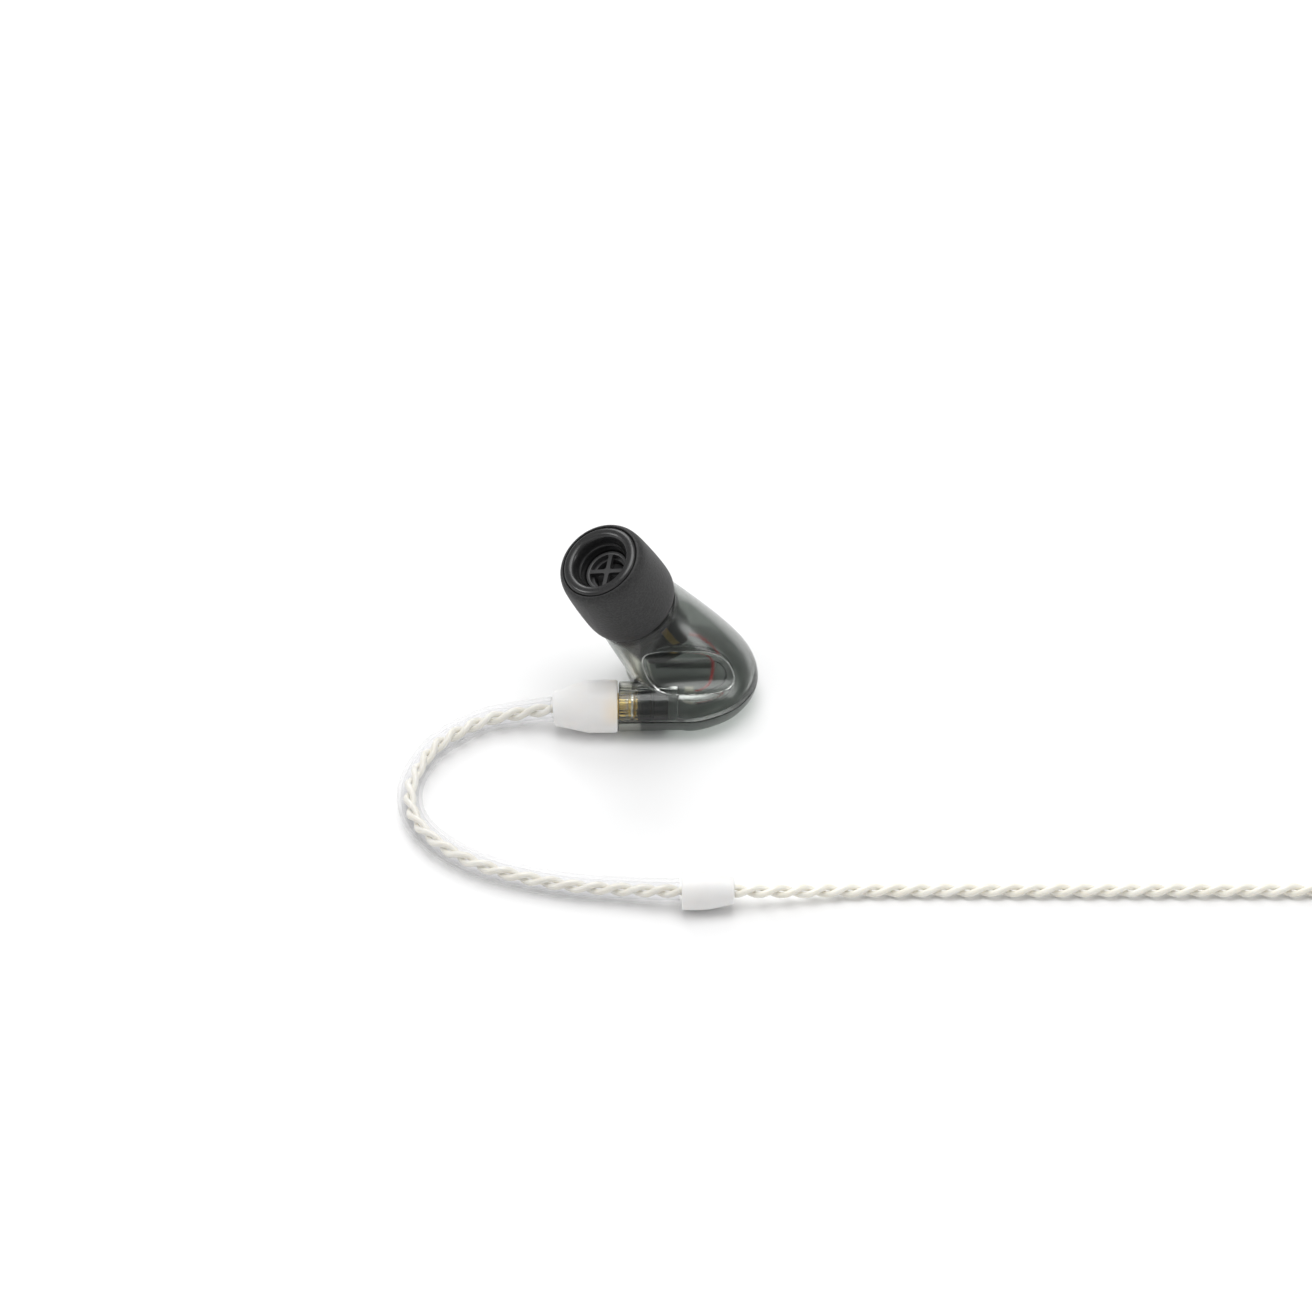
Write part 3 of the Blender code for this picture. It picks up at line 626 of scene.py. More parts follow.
def disc(radius, top, base):
    return [(0, top), (radius, top), (radius, base), (0, base)]


milk = Finish("milky_silicone", IOR=1.41, Coat_Weight=0.1)
milk.feed(milk.shader.inputs["Subsurface Weight"], 0.6)
milk.feed(milk.shader.inputs["Subsurface Radius"], (0.0022, 0.0020, 0.0018))
milk.feed(milk.shader.inputs["Subsurface Scale"], 0.6)
cloud = milk.noise(3.0, 2)
matt = milk.noise(0.09, 2)
milk_x, _, milk_z = milk.parts(milk.place)
# A painted glow: a warm band near the plug, level with its axis, is painted into the silicone's colour to
# stand for the gold seen through the boot.
near_plug = milk_x.step(-11.6 * MM, -8.8 * MM) * (1 - milk_x.step(-8.4 * MM, -8.0 * MM))
beside_axis = 1 - (milk_z - 5.0 * MM).maths("ABSOLUTE").step(0.2 * MM, 2.6 * MM)
painted_glow = near_plug * beside_axis * 0.42  # the gold of the plug shines through the boot's mouth
plain_milk = milk.blend((0.82, 0.81, 0.795), (0.88, 0.87, 0.86), cloud)
milk.vary(
    Base_Color=milk.blend(plain_milk, (0.93, 0.72, 0.46), painted_glow),
    Roughness=0.38 + 0.12 * matt,
    Normal=milk.bump(matt, 0.008, 0.5),
)

jack_parts = (
    ("jack_strain_relief", relief_profile, milk.material, 0.12, "jack_relief", "milky_silicone"),
    ("jack_grip", grip_profile, grip_metal, 0.12, "jack_body", "jack_metal"),
    ("jack_sleeve_contact", shank_profile, plate, 0.08, "jack_sleeve", "gold"),
    ("jack_lower_band", disc(1.7, 30.6, 30.0), band_black, 0.05, "jack_band_1", "black_plastic"),
    ("jack_ring_contact", disc(1.75, 32.7, 30.7), plate, 0.08, "jack_ring", "gold"),
    ("jack_upper_band", disc(1.7, 33.4, 32.8), band_black, 0.05, "jack_band_2", "black_plastic"),
    ("jack_tip_contact", jack_tip_profile, plate, 0.2, "jack_tip", "gold"),
)
for name, profile, look, fillet, node, slot in jack_parts:
    piece = turned(name, profile, JACK_AXIS, look, fillet)
    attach(piece, "cable")
    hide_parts(node)

[point * MM for point in lead_path]


# ---------------------------------------------------------------- ear hook
# A clear preformed tube that bends over the ear, with the same cream pair running inside it.
# It is pushed into the boot at one end and held by the collar at the other.

HOOK_ROUTE = (
    (-17.15, -6.50, 2.90), (-22.0, -6.45, 1.95), (-26.5, -7.7, 1.70), (-32.0, -12.2, 1.70),
    (-35.1, -19.2, 1.70), (-34.6, -25.7, 1.70), (-30.6, -31.3, 1.70), (-24.0, -35.5, 1.70),
    (-15.0, -38.2, 1.70), (-7.0, -39.3, 1.95), (-2.6, -39.95, 2.38), (-0.8, -40.0, 2.45),
)
SLEEVE_RADIUS, SLEEVE_BORE = 1.65, 1.15
HOOK_INSIDE = ((-12.3, -6.5, 3.33), *HOOK_ROUTE, (4.2, -40.0, 2.45))


def rings_along(points, radii, sides):
    """Round rings square to a path. Radii is one number, or one for each point."""
    up = Vector((0, 0, 1))
    last = len(points) - 1
    rings = []
    for i, point in enumerate(points):
        tangent = (points[min(i + 1, last)] - points[max(i - 1, 0)]).normalized()
        side = tangent.cross(up).normalized()
        over = side.cross(tangent)
        radius = radii[i] if isinstance(radii, (list, tuple)) else radii
        angles = [2 * math.pi * k / sides for k in range(sides)]
        rings.append([point + radius * (math.cos(a) * side + math.sin(a) * over) for a in angles])
    return rings


hook_pair = twisted_pair("hook_pair", smooth_route(HOOK_INSIDE, 0.5), 0.3, 14)
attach(hook_pair, "cable")
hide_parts("hook_strand_a", "hook_strand_b")

clear = Finish("clear_sleeve_pvc", IOR=1.46)
clear.feed(clear.shader.inputs["Base Color"], (0.9, 0.905, 0.9))
edge_on = clear.node("ShaderNodeLayerWeight", {}, {"Blend": 0.5}, "Facing")
drawn = clear.noise(0.5, 2, stretch=(0.3, 0.3, 1))
solid_share = 0.05 + 0.42 * edge_on**3 + 0.02 * drawn
see_through = clear.node("ShaderNodeBsdfTransparent", {}, {"Color": (0.975, 0.975, 0.98)})
seen = {0: solid_share, 1: see_through, 2: Wire(clear, clear.shader.outputs[0])}
clear_surface = clear.node("ShaderNodeMixShader", {}, seen)
clear.feed(clear.output.inputs["Surface"], clear_surface)
clear.vary(Roughness=0.04 + 0.08 * clear.noise(1.2, 2))

hook_points = smooth_route(HOOK_ROUTE, 0.45)
sleeve_rings = rings_along(hook_points, SLEEVE_RADIUS, 40)
sleeve_rings += reversed(rings_along(hook_points, SLEEVE_BORE, 40))
sleeve = skin("hook_sleeve", sleeve_rings, clear.material, wrapped=True)
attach(sleeve, "cable")
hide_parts("ear_hook_sleeve")


# ---------------------------------------------------------------- collar and boot
# Two moulded sleeves of milky silicone: the collar grips the hook's end, and the boot covers the plug.
# Both taper towards the thinner side, and light soaks into them.

COLLAR_AXIS = axis_matrix((0, -40.0, 2.45), (1, 0, 0), Vector((0, 1, 0)))
COLLAR_PROFILE = [
    (1.7, 6.1), (1.98, 4.7), (2.36, 2.9), (2.44, 1.6), (2.44, -0.45), (2.36, -0.55), (1.72, -0.55),
    (1.72, -0.2), (1.15, -0.2), (1.15, 5.7), (1.3, 6.1),
]
collar = turned("collar", COLLAR_PROFILE, COLLAR_AXIS, milk.material, 0.25)
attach(collar, "cable")
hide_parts("hook_collar")

BOOT_ROUTE = ((-8.75, -6.5, 3.4), (-12.4, -6.5, 3.35), (-17.0, -6.5, 2.92))
BOOT_FULL, BOOT_NARROW, BOOT_TAPER = 3.45, 2.28, 0.44
boot_points = smooth_route(BOOT_ROUTE, 0.12)
boot_radii = []
for i in range(len(boot_points)):
    t = max(0.0, (i / (len(boot_points) - 1) - BOOT_TAPER) / (1 - BOOT_TAPER))
    boot_radii.append(BOOT_FULL + (BOOT_NARROW - BOOT_FULL) * (0.55 * t + 0.45 * t * t * (3 - 2 * t)))
for i in range(4):
    boot_radii[i] -= 0.2 * (1 - math.sqrt(1 - ((4 - i) / 4) ** 2))
    boot_radii[-1 - i] -= 0.16 * (1 - math.sqrt(1 - ((4 - i) / 4) ** 2))
outside = rings_along(boot_points, boot_radii, 96)
inside = rings_along(boot_points, [1.88 if point.x > -12.3 else 1.66 for point in boot_points], 96)
boot = skin("boot", outside + list(reversed(inside)), milk.material, wrapped=True, sharp=55)
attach(boot, "cable")
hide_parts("boot")


# ---------------------------------------------------------------- housing shells
# Two injection-moulded halves of smoke-tinted clear plastic, glued along a seam level with the socket.
# The inner half sweeps up into the neck and carries a pressed dish, and both share the socket barrel.

LOBE_OUTLINE = (
    (9.45, 0.3), (8.6, -4.1), (5.6, -7.7), (0.3, -9.6), (-4.4, -7.0), (-6.7, -2.2), (-7.9, 1.7),
    (-8.2, 5.3), (-5.9, 9.0), (-1.0, 10.7), (4.4, 9.3), (8.0, 5.3),
)
SEAM_Z, SEAM_GAP, WALL = 3.4, 0.15, 0.8
BARREL_Y, BARREL_MOUTH_X, BARREL_END_X, BARREL_BLIND_X = -6.5, -8.6, 0.5, -1.0
BARREL_RADIUS, BARREL_END_RADIUS, BARREL_BORE = 3.25, 3.05, 2.5
NOZZLE_AXIS = Vector((-0.40, -0.244, 0.879)).normalized()
SHOULDER = Vector((-6.54, 1.13, 14.15))
NECK_RADIUS, NECK_FLARE, NOZZLE_HOLE = 5.5, 0.19, 2.85
DOME_RISE, DOME_REACH = (8, 4, 7, 4), (12, 8, 10, 8)
DISH_CENTRE, DISH_NORMAL = Vector((0.45, -5.5, 8.25)), Vector((0.2, -0.73, 0.66)).normalized()
DISH_HALF_SIZES = (7.2, 2.75, 1.9)
DISH_TOP_POWER, DISH_BASE_POWER = 3.2, 2.2
nozzle_matrix = axis_matrix(SHOULDER, NOZZLE_AXIS)
neck_x = nozzle_matrix.to_3x3().col[0]
neck_y = nozzle_matrix.to_3x3().col[1]
lobe_points = []
for i in range(len(LOBE_OUTLINE)):
    knots = [Vector((*LOBE_OUTLINE[(i + k) % len(LOBE_OUTLINE)], 0)) for k in (-1, 0, 1, 2)]
    lobe_points += [catmull_rom(*knots, part / 14) for part in range(14)]


def lobe_ring(inset, height):
    """The lobe's outline, moved inwards, at one height."""
    ring = []
    for i, point in enumerate(lobe_points):
        along = (lobe_points[(i + 1) % len(lobe_points)] - lobe_points[i - 1]).normalized()
        ring.append(Vector((point.x + inset * along.y, point.y - inset * along.x, height)))
    return ring


def pan_rings(inset, floor, top):
    """The outer half: a flat floor with quarter-round edges up to the seam."""
    radius = SEAM_Z - floor
    rings = [lobe_ring(inset, top), lobe_ring(inset, SEAM_Z)]
    for part in range(1, 17):
        angle = math.pi / 2 * part / 16
        rings.append(lobe_ring(inset + radius * (1 - math.cos(angle)), SEAM_Z - radius * math.sin(angle)))
    return rings


def dome_rings(inset, base, top, parts=40):
    """From the seam up: each column of points leaves the seam upright and joins the neck's flare."""
    columns = []
    for low in lobe_ring(inset, SEAM_Z):
        c, s = low.xy.normalized()
        outwards = c * neck_x + s * neck_y
        sides = (max(c, 0) ** 2, min(c, 0) ** 2, min(s, 0) ** 2, max(s, 0) ** 2)
        rise = Vector((0, 0, sum(share * size for share, size in zip(sides, DOME_RISE))))
        reach = sum(share * size for share, size in zip(sides, DOME_REACH))
        high = SHOULDER + NOZZLE_AXIS * top + outwards * (NECK_RADIUS - inset)
        columns.append((low, rise, high, (NOZZLE_AXIS - NECK_FLARE * outwards) * reach))
    rings = [lobe_ring(inset, base)]
    for part in range(parts + 1):
        t = part / parts
        a, b = 2 * t**3 - 3 * t**2 + 1, t**3 - 2 * t**2 + t
        c, d = 3 * t**2 - 2 * t**3, t**3 - t**2
        rings.append([a * p + b * rise + c * q + d * reach for p, rise, q, reach in columns])
    return rings


def shoulder_ring(radius, height):
    """A ring about the nozzle, at a height above the shoulder."""
    centre = SHOULDER + NOZZLE_AXIS * height
    directions = [point.xy.normalized() for point in lobe_points]
    return [centre + radius * (c * neck_x + s * neck_y) for c, s in directions]


def barrel(name, radius, end_radius, mouth, end):
    """A round bar along the socket's axis."""
    frame_x = axis_matrix((0, BARREL_Y, SEAM_Z), (1, 0, 0), Vector((0, 1, 0)))
    profile = [(0, end), (end_radius, end), (radius, mouth), (0, mouth)]
    return turned(name, profile, frame_x, None, 0.12, 128)


def dish(name, grow):
    """The dish's cutter, which is squarer along its top than along its base."""
    bm = bmesh.new()
    bmesh.ops.create_uvsphere(bm, u_segments=96, v_segments=64, radius=1.0)
    for vert in bm.verts:
        flat = vert.co.xy.length
        if flat > 0.001:
            power = DISH_TOP_POWER if vert.co.y > 0 else DISH_BASE_POWER
            c, s = abs(vert.co.x) / flat, abs(vert.co.y) / flat
            vert.co.xy *= (c**power + s**power) ** (-1 / power)
    bmesh.ops.scale(bm, vec=Vector([size + grow for size in DISH_HALF_SIZES]) * MM, verts=bm.verts)
    bmesh.ops.transform(bm, matrix=axis_matrix(DISH_CENTRE, DISH_NORMAL), verts=bm.verts)
    mesh = bpy.data.meshes.new(name)
    bm.to_mesh(mesh)
    bm.free()
    return linked(name, mesh)


def half_space(name, low_z, high_z):
    bm = bmesh.new()
    bmesh.ops.create_cube(bm, size=1.0)
    bmesh.ops.scale(bm, vec=Vector((60, 60, high_z - low_z)) * MM, verts=bm.verts)
    bmesh.ops.translate(bm, vec=Vector((0, 0, (low_z + high_z) / 2)) * MM, verts=bm.verts)
    mesh = bpy.data.meshes.new(name)
    bm.to_mesh(mesh)
    bm.free()
    return linked(name, mesh)


def carved(name, body, steps, finish, sharp=32):
    """Add or cut away solids one after another, and leave a plain mesh."""
    for operation, tool in steps:
        boolean = body.modifiers.new(tool.name, "BOOLEAN")
        boolean.object = tool
        boolean.operation = operation
        boolean.solver = "EXACT"
    piece = made_plain(name, body, finish)
    for _, tool in steps:
        bpy.data.objects.remove(tool, do_unlink=True)
    oriented(piece.data)
    piece.data.shade_smooth()
    piece.data.set_sharp_from_angle(angle=math.radians(sharp))
    return piece


def eased(piece, voxel, passes):
    """Close a solid's skin over with an even mesh, and round its edges off by smoothing it."""
    remesh = piece.modifiers.new("even_skin", "REMESH")
    remesh.mode = "VOXEL"
    remesh.voxel_size = voxel * MM
    smooth = piece.modifiers.new("rounding", "SMOOTH")
    smooth.factor = 0.5
    smooth.iterations = passes
    return piece


def smoke_plastic(name, dark, light, roughness):
    """Clear plastic with a faint moulding skin, and its streaked tint for the caller to finish."""
    made = Finish(name, IOR=1.49, Transmission_Weight=1.0)
    streak = made.noise(5.0, 3)
    made.vary(
        Roughness=roughness + 0.05 * streak,
        Normal=made.bump(made.noise(0.5, 2), 0.003, 0.2),
    )
    made.lets_lamps_through((0.74, 0.76, 0.745))
    return made, made.blend(dark, light, streak)


SEAM_DARK = (0.03, 0.033, 0.031)
# The dish rim's shine is the metal share of its painted highlight.
SEAM_SHINE, RIM_SHINE = 0.85, 0.38
MOUTH_FADE = (-6.0 * MM, -5.6 * MM)  # the barrel's mouth is moulded thinner, and is paler up to here


def glued_seam(height):
    """1 on the glued faces of the seam, which are dark, and 0 elsewhere."""
    return 1 - (height - SEAM_Z * MM).maths("ABSOLUTE").step(0.08 * MM, 0.11 * MM)


outer_dark, outer_light = (0.15, 0.165, 0.155), (0.20, 0.215, 0.205)
outer_smoke, outer_tint = smoke_plastic("smoke_plastic_outer", outer_dark, outer_light, 0.3)
outer_x, _, outer_z = outer_smoke.parts(outer_smoke.place)
outer_seam = glued_seam(outer_z)
outer_skin = outer_smoke.blend((0.80, 0.80, 0.74), outer_tint, outer_x.step(*MOUTH_FADE))
outer_smoke.vary(
    Base_Color=outer_smoke.blend(outer_skin, SEAM_DARK, outer_seam),
    Metallic=outer_seam * SEAM_SHINE,
)

inner_dark, inner_light = (0.39, 0.415, 0.395), (0.47, 0.49, 0.47)
smoke, inner_tint = smoke_plastic("smoke_plastic_inner", inner_dark, inner_light, 0.15)
inner_x, inner_y, inner_z = smoke.parts(smoke.place)
inner_seam = glued_seam(inner_z)
mouth_tint = smoke.blend((0.86, 0.86, 0.80), inner_tint, inner_x.step(*MOUTH_FADE))
skin_tint = smoke.blend(mouth_tint, inner_tint, inner_y.step(-3.5 * MM, -2.5 * MM))

# The dish's rim carries a painted highlight: a pale band, where a squared-up distance from the dish's middle
# is just past 1.
rim_x, rim_y, rim_z = smoke.parts(smoke.turned_place(axis_matrix(DISH_CENTRE, DISH_NORMAL)))
power = DISH_BASE_POWER + (DISH_TOP_POWER - DISH_BASE_POWER) * rim_y.maths("GREATER_THAN", 0.0)
share_x = rim_x.maths("ABSOLUTE") / (DISH_HALF_SIZES[0] * MM)
share_y = rim_y.maths("ABSOLUTE") / (DISH_HALF_SIZES[1] * MM)
outline = (share_x**power + share_y**power) ** (power**-1.0 * 2.0)
reach = outline + (rim_z / (DISH_HALF_SIZES[2] * MM)) ** 2.0
rim_highlight = reach.step(1.005, 1.03) * (1 - reach.step(1.05, 1.10))
rim_highlight_tint = smoke.blend(skin_tint, (0.80, 0.82, 0.80), rim_highlight)
smoke.vary(
    Base_Color=smoke.blend(rim_highlight_tint, SEAM_DARK, inner_seam),
    Metallic=(rim_highlight * RIM_SHINE).maths("MAXIMUM", inner_seam * SEAM_SHINE),
)

pan_steps = [
    ("UNION", barrel("barrel_low", BARREL_RADIUS, BARREL_END_RADIUS, BARREL_MOUTH_X, BARREL_END_X)),
    ("DIFFERENCE", half_space("above_seam", SEAM_Z - SEAM_GAP / 2, 40)),
    ("DIFFERENCE", skin("pan_hollow", pan_rings(WALL, WALL, SEAM_Z + 2), None)),
    ("DIFFERENCE", barrel("bore_low", BARREL_BORE, BARREL_BORE, BARREL_MOUTH_X - 1, BARREL_BLIND_X)),
]
pan_solid = skin("pan_solid", pan_rings(0, 0, SEAM_Z + 1), None)
outer_half = carved("outer_half", pan_solid, pan_steps, outer_smoke.material)

dome_room = skin("dome_room", dome_rings(WALL, SEAM_Z - 2, -1.3), None)
dome_hollow = carved("dome_hollow", dome_room, [("DIFFERENCE", dish("dish_inside", WALL))], None)
dome_hollow = eased(dome_hollow, 0.3, 20)
dome_outside = dome_rings(0, SEAM_Z - 1, -0.5)
for radius, height in ((5.46, -0.3), (5.38, -0.14), (5.24, -0.04), (5.0, 0)):
    dome_outside.append(shoulder_ring(radius, height))
skin_steps = [
    ("UNION", barrel("barrel_high", BARREL_RADIUS, BARREL_END_RADIUS, BARREL_MOUTH_X, BARREL_END_X)),
    ("DIFFERENCE", dish("dish_outside", 0.0)),
]
dome_solid = eased(carved("dome_solid", skin("dome_body", dome_outside, None), skin_steps, None), 0.16, 6)
dome_steps = [
    ("DIFFERENCE", half_space("below_seam", -40, SEAM_Z + SEAM_GAP / 2)),
    ("DIFFERENCE", dome_hollow),
    ("DIFFERENCE", barrel("bore_high", BARREL_BORE, BARREL_BORE, BARREL_MOUTH_X - 1, BARREL_BLIND_X)),
    ("DIFFERENCE", turned("nozzle_hole", disc(NOZZLE_HOLE, 2, -4), nozzle_matrix, None, 0)),
]
inner_half = carved("inner_half", dome_solid, dome_steps, smoke.material)
for shell, node in ((outer_half, "outer_shell"), (inner_half, "inner_shell")):
    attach(shell, "earpiece")
    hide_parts(node)


# ---------------------------------------------------------------- ear tip
# A sleeve of slow-recovery foam bonded to a soft rubber core, which stretches over the nozzle's barb.
# The core's end rolls outwards into a smooth lip round the bore.

TIP_CORE_PROFILE = [
    (4.3, 11.45), (4.75, 11.38), (5.03, 11.1), (4.9, 10.9), (4.55, 10.75), (3.9, 10.3), (3.75, 9.6),
    (3.75, 0.35), (3.05, 0.35), (3.05, 9.0), (3.4, 9.9), (3.58, 10.8), (3.85, 11.3),
]
TIP_FOAM_PROFILE = [
    (5.3, 11.2), (5.55, 11.0), (5.8, 10.5), (5.95, 9.8), (6.05, 8.8), (6.15, 7.2), (6.22, 5.4),
    (6.25, 3.6), (6.22, 2.2), (6.08, 1.2), (5.75, 0.6), (5.1, 0.35), (3.95, 0.35), (3.95, 9.6),
    (4.1, 10.15), (4.75, 10.6), (5.1, 10.9), (5.16, 11.12),
]


def closed_profile(knots, parts=6):
    """A smooth closed outline through knots of (radius, height)."""
    points = []
    for i in range(len(knots)):
        p0, p1, p2, p3 = (Vector(knots[(i + k) % len(knots)]) for k in (-1, 0, 1, 2))
        points += [catmull_rom(p0, p1, p2, p3, part / parts) for part in range(parts)]
    return points


foam = Finish("tip_foam_grain")
pores = foam.cells(0.34)
fuzz = foam.noise(0.24, 4, 0.7)
cast = foam.noise(2.8, 3)
foam.feed(foam.shader.inputs["Sheen Weight"], 0.07)
foam.feed(foam.shader.inputs["Sheen Roughness"], 0.5)
foam_tone = foam.blend((0.003, 0.003, 0.0032), (0.030, 0.030, 0.0305), fuzz.step(0.38, 0.66))
foam.vary(
    Base_Color=foam.blend(foam_tone, (0.012, 0.012, 0.0125), cast * 0.4),
    Roughness=0.48 + 0.25 * fuzz,
    Normal=foam.bump(fuzz * 0.7 + pores * 0.6, 0.05, 0.8),
)
foam_outline = closed_profile(TIP_FOAM_PROFILE)
foam_sleeve = turned("foam_sleeve", foam_outline, nozzle_matrix, foam.material, 0, 160, 60)
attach(foam_sleeve, "ear_tip")
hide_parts("tip_foam")

rubber = Finish("tip_core_rubber", IOR=1.6)
bloom = rubber.noise(0.25, 3)
rubber.vary(
    Base_Color=rubber.blend((0.010, 0.010, 0.0105), (0.020, 0.020, 0.0205), bloom),
    Roughness=0.24 + 0.10 * bloom,
    Normal=rubber.bump(rubber.noise(0.08, 2), 0.006, 0.4),
)
core_outline = closed_profile(TIP_CORE_PROFILE)
core = turned("tip_core_lip", core_outline, nozzle_matrix, rubber.material, 0, 128, 60)
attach(core, "ear_tip")
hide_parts("tip_core")


# ---------------------------------------------------------------- nozzle and grille
# A dark turned tube with a barb for the tip, closed by a moulded grille of four rounded openings.
# A woven screen lies behind the grille and tunes the sound.

GRILLE_TURN = math.radians(-12)


def quadrant_outline(gap, radius, corner):
    """A quarter of a disc clear of both bars, with its corners rounded, as 2D points."""
    low = math.asin(gap / radius)
    high = math.pi / 2 - low
    arc = [low + (high - low) * i / 10 for i in range(11)]
    points = [Vector((gap, gap))] + [radius * Vector((math.cos(a), math.sin(a))) for a in arc]
    smooth = []
    for i, here in enumerate(points):
        if i not in (0, 1, len(points) - 1):
            smooth.append(here)
            continue
        back, on = points[i - 1] - here, points[(i + 1) % len(points)] - here
        start = here + back.normalized() * min(corner, 0.8 * back.length)
        end = here + on.normalized() * min(corner, 0.8 * on.length)
        for t in (0, 0.25, 0.5, 0.75, 1):
            smooth.append((1 - t) ** 2 * start + 2 * t * (1 - t) * here + t * t * end)
    return smooth


def openings_tree():
    """Cut one opening, repeated evenly about the middle, out of the mesh that the tree is given."""
    inputs = {"Disc": "Geometry", "Opening": "Object", "Count": "Int"}
    inputs |= {"Turn": "Float", "Material": "Material"}
    graph, wanted = geometry_graph("round_openings", inputs, "Grille")
    tool = graph.node("GeometryNodeObjectInfo", {}, {"Object": wanted["Opening"]}, "Geometry")
    points = graph.node("GeometryNodePoints", {}, {"Count": wanted["Count"]})
    index = graph.node("GeometryNodeInputIndex")
    angle = index * (2 * math.pi) / wanted["Count"] + wanted["Turn"]
    turn = graph.node("ShaderNodeCombineXYZ", {}, {"Z": angle})
    placed = {"Points": points, "Instance": tool, "Rotation": turn}
    copies = graph.node("GeometryNodeInstanceOnPoints", {}, placed)
    solid = graph.node("GeometryNodeRealizeInstances", {}, {0: copies})
    settings = {"operation": "DIFFERENCE", "solver": "EXACT"}
    cut = graph.node("GeometryNodeMeshBoolean", settings, {"Mesh 1": wanted["Disc"]})
    graph.feed(cut.socket.node.inputs["Mesh 2"], solid)
    return dressed_tree(graph, cut, wanted["Material"])


nozzle_dark, nozzle_pale = (0.040, 0.040, 0.041), (0.065, 0.065, 0.066)
gloss, relief = (0.32, 0.16), (0.006, 0.5)
alloy = grained("grille_dark_plastic", nozzle_dark, nozzle_pale, 0.12, 3, gloss, relief)
opening_outline = quadrant_outline(0.27, 2.48, 0.35)
opening = skin("grille_opening", [[(p.x, p.y, z) for p in opening_outline] for z in (7.4, 9.4)], None)
disc_profile = [(0, 8.75), (2.5, 8.75), (2.62, 8.8), (2.9, 8.8), (2.9, 8.15), (0, 8.15)]
grille_disc = turned("grille_disc", disc_profile, Matrix.Identity(4), alloy, 0.06, 128)
wishes = {"Opening": opening, "Count": 4, "Turn": GRILLE_TURN, "Material": alloy}
run_tree(grille_disc, openings_tree(), **wishes)
grille = made_plain("grille", grille_disc, alloy)
bpy.data.objects.remove(opening, do_unlink=True)
oriented(grille.data)
grille.data.transform(nozzle_matrix)
grille.data.set_sharp_from_angle(angle=math.radians(32))
grille_edges = grille.modifiers.new("soft_edges", "BEVEL")
grille_edges.width = 0.04 * MM
grille_edges.segments = 2
grille_edges.limit_method = "ANGLE"
grille_edges.angle_limit = math.radians(40)
grille_edges.use_clamp_overlap = True

screen_cloth = Finish("screen_cloth")
threads = []
for direction in "XY":
    settings = {"wave_type": "BANDS", "bands_direction": direction}
    across = {"Vector": screen_cloth.turned_place(nozzle_matrix), "Scale": 2200.0}
    threads.append(screen_cloth.node("ShaderNodeTexWave", settings, across))
weave = threads[0].maths("MAXIMUM", threads[1])
screen_cloth.vary(
    Base_Color=screen_cloth.blend((0.002, 0.002, 0.002), (0.03, 0.03, 0.031), weave),
    Roughness=0.5 + 0.3 * weave,
    Normal=screen_cloth.bump(weave, 0.02, 0.6),
)
screen = turned("screen", disc(1.98, 7.2, 7.0), nozzle_matrix, screen_cloth.material, 0.04)

NOZZLE_PROFILE = [
    (2.85, 8.0), (2.9, 7.5), (2.7, 7.1), (2.7, -1.35), (4.1, -1.35), (4.1, -1.7), (2.1, -1.7),
    (2.1, 8.0),
]
nozzle = turned("nozzle", NOZZLE_PROFILE, nozzle_matrix, alloy, 0.12)
for piece, node, slot in (
    (grille, "nozzle_grille", "nozzle_dark"),
    (screen, "acoustic_screen", "black_plastic"),
    (nozzle, "nozzle_tube", "nozzle_dark"),
):
    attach(piece, "earpiece")
    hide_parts(node)


# ---------------------------------------------------------------- driver
# A dynamic driver in a black moulded can under the nozzle, with a steel yoke, a magnet and a diaphragm.
# A brass strip on its side carries the signal in, from two fine enamelled wires.

DRIVER_DATUM = 2.2
driver_matrix = axis_matrix(SHOULDER + DRIVER_DATUM * NOZZLE_AXIS, NOZZLE_AXIS)
can_dark, can_pale = (0.006, 0.006, 0.0065), (0.016, 0.016, 0.016)
can = grained("driver_can_plastic", can_dark, can_pale, 0.2, 3, (0.28, 0.2), (0.006, 0.5))
case_profile = [
    (0, -10.0), (3.9, -10.0), (3.9, -5.1), (4.3, -5.1), (4.3, -9.4), (4.1, -9.6), (4.1, -10.2),
    (3.8, -10.4), (0, -10.4),
]
ring_profile = [(4.3, -4.0), (4.3, -4.9), (1.8, -4.9), (1.8, -4.4), (2.4, -4.0)]
driver_can = turned("driver_can", case_profile, driver_matrix, can, 0.12)
front_ring = turned("driver_cover_ring", ring_profile, driver_matrix, can, 0.15)
for piece, node in ((driver_can, "driver_case"), (front_ring, "driver_front_ring")):
    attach(piece, "earpiece")
    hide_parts(node)

steel = metal("yoke_steel", (0.42, 0.42, 0.43), (0.58, 0.58, 0.59), 0.28, driver_matrix)
nickel = metal("magnet_nickel", (0.50, 0.49, 0.46), (0.66, 0.65, 0.62), 0.2, driver_matrix)
copper = metal("coil_copper_wire", (0.62, 0.25, 0.10), (0.80, 0.40, 0.20), 0.25, driver_matrix)
brass = metal("strip_brass", (0.50, 0.34, 0.10), (0.66, 0.47, 0.18), 0.22, driver_matrix)
film_dark, film_pale = (0.34, 0.30, 0.20), (0.48, 0.42, 0.28)
film = grained("diaphragm_polymer", film_dark, film_pale, 0.6, 2, (0.2, 0.15), (0.01, 0.4))
carried = {
    "driver_yoke": steel,
    "driver_pole_plate": steel,
    "driver_magnet": nickel,
    "voice_coil": copper,
    "diaphragm": film,
    "terminal_strip": brass,
}


# ---------------------------------------------------------------- wires, terminal and vent
# A red and a black enamelled wire run from the driver to a cream terminal block by the socket.
# A thin smoke-clear duct with a white filter lets the housing breathe.


